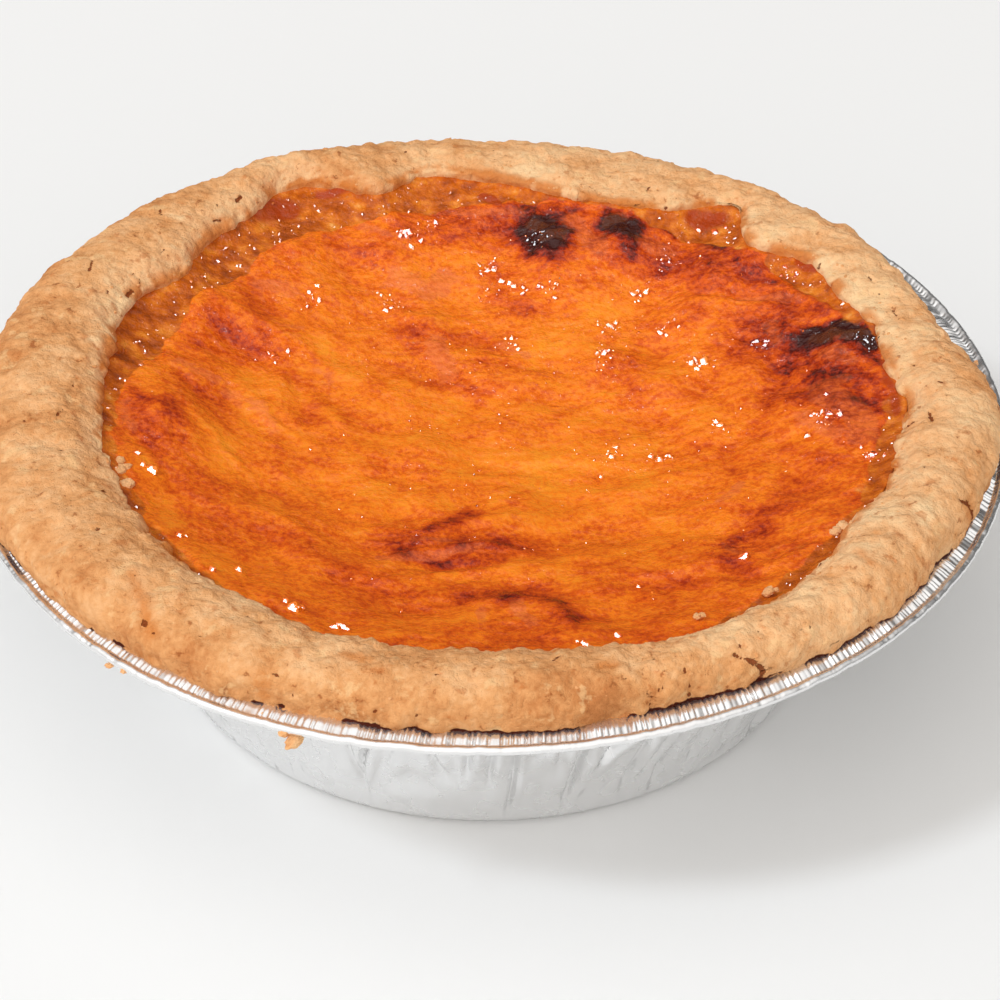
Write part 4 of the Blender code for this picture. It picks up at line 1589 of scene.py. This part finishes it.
@dataclass
class LooseBits:
    """Small things that lie on the pie: bubbles, wet beads, crumbs on foil and pastry, and flakes."""

    pastry: bpy.types.Material
    syrup: bpy.types.Material
    lit_from: tuple[float, float, float]
    seen_from: tuple[float, float, float]
    bubble_count: int = 190
    bead_count: int = 620
    grain_count: int = 420
    fine_from: float = 0.0003
    bead_top: float = 0.04
    bead_under: float = 0.6
    bead_lift: float = 0.3
    beads: Sequence[tuple[float, float, float]] = (
        (-39.6, -15.3, 0.75),
        (-40.6, -14.6, 0.40),
        (-41.5, -12.3, 0.40),
        (-35.2, -27.9, 0.45),
        (-34.5, -27.6, 0.35),
        (-30.9, -34.9, 0.50),
        (-28.1, -33.4, 0.50),
        (-22.4, -40.4, 0.45),
        (-21.4, -41.8, 0.80),
        (-20.6, -41.4, 0.45),
        (-16.9, -45.0, 0.45),
        (-15.8, -45.0, 0.60),
        (29.0, -30.2, 0.55),
        (10.5, -48.2, 0.45),
        (14.0, -46.1, 0.45),
        (9.6, -47.4, 0.30),
        (38.4, -6.4, 0.45),
        (41.3, 0.4, 0.40),
        (45.2, -12.8, 0.50),
        (28.0, 39.2, 0.40),
        (30.2, 38.0, 0.55),
        (31.6, 38.6, 0.35),
        (16.9, -34.2, 0.35),
        (-11.0, 39.4, 0.70),
        (27.2, 12.4, 0.70),
    )
    foil_crumbs: Sequence[tuple[float, float, float, float]] = (
        (-109, 63.0, 29.9, 1.15),
        (-110, 62.6, 30.6, 0.80),
        (-129, 62.6, 30.6, 0.60),
        (-131, 62.9, 30.2, 0.50),
        (-113, 60.9, 30.8, 0.75),
        (-115, 60.8, 30.8, 0.60),
        (-110, 60.8, 30.8, 0.55),
        (-99, 61.2, 30.7, 0.65),
        (-90, 60.9, 30.7, 0.60),
        (-88, 61.3, 30.7, 0.45),
        (-86, 60.8, 30.7, 0.55),
        (-80, 61.4, 30.7, 0.55),
        (-77, 61.6, 30.7, 0.40),
        (-70, 60.6, 30.9, 0.50),
        (-68, 60.8, 30.9, 0.60),
        (-41, 60.3, 31.1, 0.85),
        (-52, 62.0, 31.0, 0.35),
        (6, 62.2, 31.0, 0.55),
        (9, 61.9, 31.0, 0.45),
    )
    flakes: Sequence[tuple[float, float, float, float, float, float]] = (
        (-42.9, -15.2, 33.7, 1.1, 2.2, 0.5),
        (-42.2, -18.6, 33.8, 1.0, 1.8, 0.5),
        (41.2, -26.8, 33.8, 1.6, 0.9, 0.5),
        (39.6, -27.9, 33.6, 0.9, 0.7, 0.4),
        (31.2, -39.3, 34.0, 1.2, 0.7, 0.4),
        (23.0, -43.4, 34.1, 1.0, 0.6, 0.4),
    )

    def add_lump(
        self,
        body: bmesh.types.BMesh,
        place: Vector,
        sizes: tuple[float, float, float],
        seed: int,
        rounds: int = 1,
    ) -> None:
        """Adds one rough lump.

        Args:
            body: The mesh that the lump joins.
            place: The lump's middle.
            sizes: Its half sizes.
            seed: Chooses its turn and its roughness.
            rounds: How finely it is cut.
        """
        draw = random.Random(seed)
        turn = Matrix.Rotation(draw.uniform(0.0, math.tau), 3, "Z")
        corners = bmesh.ops.create_icosphere(body, subdivisions=rounds, radius=1.0)["verts"]
        for corner in corners:
            rough = 1.0 + 0.40 * noise.noise(corner.co * 1.7 + Vector((seed, 0.0, 0.0)))
            rough += 0.25 * noise.noise(corner.co * 4.1 + Vector((0.0, seed, 0.0)))
            shaped = Vector(corner.co[axis] * sizes[axis] for axis in range(3)) * rough
            corner.co = place + turn @ shaped

    def finish_piece(self, body: bmesh.types.BMesh, name: str, values: dict[str, object]) -> bpy.types.Mesh:
        """Turns the gathered lumps into one mesh.

        Args:
            body: The lumps. They are let go afterwards.
            name: The mesh's name.
            values: Named values that the mesh holds, one number for all points or one for each.

        Returns:
            The mesh.
        """
        mesh = bpy.data.meshes.new(name)
        body.to_mesh(mesh)
        body.free()
        for key, numbers in values.items():
            layer = mesh.attributes.new(key, "FLOAT", "POINT")
            layer.data.foreach_set("value", np.full(len(mesh.vertices), numbers, np.float32))
        return mesh

    def add_bead(
        self, body: bmesh.types.BMesh, place: Vector, half: float, draw: random.Random, loose: float
    ) -> int:
        """Adds one wet bead, round below and nearly flat on its upper face, which leans towards the light.

        Args:
            body: The mesh that the bead joins.
            place: Where the bead lies on the skin.
            half: Half its width.
            draw: Source of its shape.
            loose: How far its lean may stray.

        Returns:
            The number of its points.
        """
        lean = (Vector(self.lit_from) - place).normalized() + (Vector(self.seen_from) - place).normalized()
        lean = lean.normalized() + Vector([draw.gauss(0.0, loose) for _ in range(3)])
        turn = Vector((0.0, 0.0, 1.0)).rotation_difference(lean).to_matrix()
        turn = turn @ Matrix.Rotation(draw.uniform(0.0, math.tau), 3, "Z")
        long, seed = draw.uniform(1.0, 1.8), draw.uniform(0.0, 90.0)
        if half > self.fine_from:
            corners = bmesh.ops.create_icosphere(body, subdivisions=3, radius=half)["verts"]
        else:
            corners = bmesh.ops.create_uvsphere(body, u_segments=8, v_segments=5, radius=half)["verts"]
        for corner in corners:
            rough = 1.0 + 0.60 * noise.noise(corner.co / half * 1.5 + Vector((seed, 0.0, 0.0)))
            deep = self.bead_top if corner.co.z > 0.0 else self.bead_under
            shaped = Vector((corner.co.x * rough * long, corner.co.y * rough, corner.co.z * deep))
            corner.co = turn @ shaped + place
            corner.co.z += self.bead_lift * half
        return len(corners)

    def build_bubbles(self, filling: Filling) -> bpy.types.Object:
        """Small beads that stand half out of the syrup.

        Args:
            filling: The finished filling, which says where the syrup is.

        Returns:
            The piece.
        """
        draw = random.Random(7)
        body = bmesh.new()
        live = np.argwhere(filling.syrup > 0.5)
        for _ in range(self.bubble_count):
            row, column = live[draw.randrange(len(live))]
            size = 0.00009 + 0.00020 * draw.random() ** 2
            self.add_bead(body, Vector(filling.points[row, column]), size, draw, 0.025)
        values = {"bake": 0.4, "syrup": 1.0}
        return show(self.finish_piece(body, "syrup_bubbles", values), self.syrup, Slot.FILLING)

    def build_beads(self, filling: Filling) -> bpy.types.Object:
        """Wet beads on the skin: single large ones, clusters, and small stray ones.

        Args:
            filling: The finished filling, which the beads lie on and take their colour from.

        Returns:
            The piece.
        """
        draw = random.Random(77)
        spots = [(x / 1000.0, y / 1000.0, half / 1200.0, 0.01) for x, y, half in self.beads]
        for glint in filling.glints:
            for _ in range(round(14.0 * glint.strength)):
                x, y = mix(glint.starts[0], glint.ends[-1], draw.random())
                x, y = x + draw.gauss(0.0, 0.6) * glint.width, y + draw.gauss(0.0, 0.6) * glint.width
                spots.append((x, y, 0.00009 + 0.00032 * draw.random() ** 2, 0.015))
        while len(spots) < self.bead_count:
            x, y = draw.gauss(0.010, 0.022), draw.gauss(0.010, 0.022)
            if math.hypot(x, y) < 0.044 and noise.noise(Vector((x, y, 0.0)) / 0.005) > 0.0:
                spots.append((x, y, 0.00006 + 0.00010 * draw.random(), 0.03))
        body = bmesh.new()
        bakes: list[float] = []
        for x, y, half, loose in spots:
            index = filling.nearest(x, y)
            count = self.add_bead(body, Vector((x, y, filling.points[index][2])), half, draw, loose)
            bakes += [float(filling.bake[index])] * count
        mesh = self.finish_piece(body, "wet_beads", {"bake": bakes})
        return show(mesh, self.syrup, Slot.FILLING)

    def build_grains(self, case: PastryCase) -> bpy.types.Object:
        """Loose grains of pastry over the rim, closer together along its inner edge.

        Args:
            case: The finished pastry case, which the grains lie on.

        Returns:
            The piece.
        """
        draw = random.Random(19)
        body = bmesh.new()
        rows, columns = case.points.shape[:2]
        for count in range(self.grain_count):
            inner = draw.random() < 0.5
            row = int(rows * (draw.uniform(0.80, 0.97) if inner else draw.uniform(0.20, 0.95)))
            column = draw.randrange(columns)
            size = draw.uniform(0.00014, 0.00030)
            place = Vector(case.points[row, column]) - Vector(case.normals[row, column]) * size * 0.45
            place.z = min(place.z, 0.03745 - size)
            long, wide, thick = draw.uniform(0.8, 1.6), draw.uniform(0.8, 1.6), draw.uniform(0.6, 1.0)
            self.add_lump(body, place, (size * long, size * wide, size * thick), count)
        mesh = self.finish_piece(body, "pastry_grains", {"toast": 0.44})
        return show(mesh, self.pastry, Slot.PASTRY, smooth=False)

    def build_crumbs(self) -> bpy.types.Object:
        """Crumbs caught on the foil rim, and crumbly flakes of pastry that lie over the filling's edge.

        Returns:
            The piece.
        """
        body = bmesh.new()
        for count, (azimuth, radius, height, size) in enumerate(self.foil_crumbs):
            turn = math.radians(azimuth)
            place = Vector((radius * math.cos(turn), radius * math.sin(turn), height)) / 1000.0
            half = size / 1000.0
            self.add_lump(body, place, (half, half * 0.7, half * 0.5), 100 + count, rounds=3)
        for count, (x, y, z, long, wide, thick) in enumerate(self.flakes):
            draw = random.Random(300 + count)
            for part in range(7):
                reach, turn = math.sqrt(draw.random()) * 0.65, draw.uniform(0.0, math.tau)
                across, away = long * reach * math.cos(turn), wide * reach * math.sin(turn)
                spot = Vector((x + across, y + away, z - thick * draw.random())) / 1000.0
                half = draw.uniform(0.45, 0.85) * min(long, wide) / 1000.0
                sizes = (half, half * 0.8, half * 0.6)
                self.add_lump(body, spot, sizes, 400 + 20 * count + part, rounds=2)
        mesh = self.finish_piece(body, "pastry_crumbs", {"toast": 0.30})
        return show(mesh, self.pastry, Slot.PASTRY, smooth=False)


@dataclass(frozen=True)
class Studio:
    """Plain floor, soft light and the camera."""

    focal_pixels: float = 2800.0
    frame_pixels: float = 1000.0
    sensor: float = 36.0
    place: tuple[float, float, float] = (0.0, -0.28033, 0.22779)
    drop: float = math.radians(36.949)
    yaw: float = math.radians(0.304)
    roll: float = math.radians(0.077)
    floor_half: float = 4.0
    sky_low: float = 0.08
    sky_high: float = 1.21
    sky_tint: tuple[float, float, float, float] = (1.0, 0.975, 0.95, 1.0)
    sky_edges: tuple[float, float] = (-0.2, 0.8)
    bright_from: tuple[float, float, float] = (-0.22, -0.64, 0.736)
    key_tint: tuple[float, float, float] = (0.93, 1.0, 1.08)
    key_place: tuple[float, float, float] = (-1.24, -0.72, 1.72)
    key_size: float = 0.30
    key_power: float = 13.5

    def build_camera(self) -> None:
        """The camera at the viewing angle of the photograph."""
        data = bpy.data.cameras.new("camera")
        data.sensor_width = self.sensor
        data.lens = self.sensor * self.focal_pixels / self.frame_pixels
        data.clip_start = 0.01
        camera = bpy.data.objects.new("camera", data)
        bpy.context.scene.collection.objects.link(camera)
        flat = math.cos(self.drop)
        ahead = Vector((math.sin(self.yaw) * flat, math.cos(self.yaw) * flat, -math.sin(self.drop)))
        right = Matrix.Rotation(-self.roll, 3, ahead) @ Vector((math.cos(self.yaw), -math.sin(self.yaw), 0.0))
        matrix = Matrix((right, right.cross(ahead), -ahead)).transposed().to_4x4()
        matrix.translation = Vector(self.place)
        camera.matrix_world = matrix
        bpy.context.scene.camera = camera

    def build_floor(self) -> None:
        """A flat floor under the tin."""
        mesh = bpy.data.meshes.new("floor")
        body = bmesh.new()
        bmesh.ops.create_grid(body, x_segments=1, y_segments=1, size=self.floor_half)
        body.to_mesh(mesh)
        body.free()
        mesh.materials.append(FloorFinish().build())
        floor = bpy.data.objects.new("floor", mesh)
        bpy.context.scene.collection.objects.link(floor)

    def build_key(self) -> None:
        """A soft square light that faces the pie."""
        data = bpy.data.lights.new("key", "AREA")
        data.size = self.key_size
        data.energy = self.key_power
        data.color = self.key_tint
        lamp = bpy.data.objects.new("key", data)
        bpy.context.scene.collection.objects.link(lamp)
        lamp.location = self.key_place
        lamp.rotation_euler = (-Vector(self.key_place)).to_track_quat("-Z", "Y").to_euler()

    def build_sky(self) -> None:
        """Soft light from all round, brightest from above and in front."""
        world = bpy.data.worlds.new("sky")
        bpy.context.scene.world = world
        world.use_nodes = True
        tree = world.node_tree
        place = tree.nodes.new("ShaderNodeTexCoord").outputs["Generated"]
        toward = tree.nodes.new("ShaderNodeVectorMath")
        toward.operation = "DOT_PRODUCT"
        toward.inputs[1].default_value = self.bright_from
        tree.links.new(place, toward.inputs[0])
        level = tree.nodes.new("ShaderNodeMapRange")
        level.interpolation_type = "SMOOTHSTEP"
        level.inputs["From Min"].default_value = self.sky_edges[0]
        level.inputs["From Max"].default_value = self.sky_edges[1]
        level.inputs["To Min"].default_value = self.sky_low
        level.inputs["To Max"].default_value = self.sky_high
        tree.links.new(toward.outputs["Value"], level.inputs["Value"])
        tree.links.new(level.outputs["Result"], tree.nodes["Background"].inputs["Strength"])
        tree.nodes["Background"].inputs["Color"].default_value = self.sky_tint

    def build(self) -> None:
        """Sets up the light, the floor and the camera."""
        bpy.context.scene.view_settings.view_transform = "Standard"
        self.build_sky()
        self.build_key()
        self.build_floor()
        self.build_camera()


def main() -> None:
    """Dresses the pie piece by piece and reports each one."""
    logging.basicConfig(level=logging.INFO, format="%(name)s: %(message)s")
    shape = PieShape()
    foil, pastry, skin = FoilFinish().build(), PastryFinish().build(), SkinFinish().build()
    tin = FoilTin(shape, foil)
    tin.build_bowl()
    tin.build_rim()
    case = PastryCase(shape, pastry)
    case.build()
    filling = Filling(shape, skin)
    filling.build()
    bits = LooseBits(pastry, skin, Studio.key_place, Studio.place)
    bits.build_bubbles(filling)
    bits.build_beads(filling)
    bits.build_grains(case)
    bits.build_crumbs()
    Studio().build()


if __name__ == "__main__":
    main()
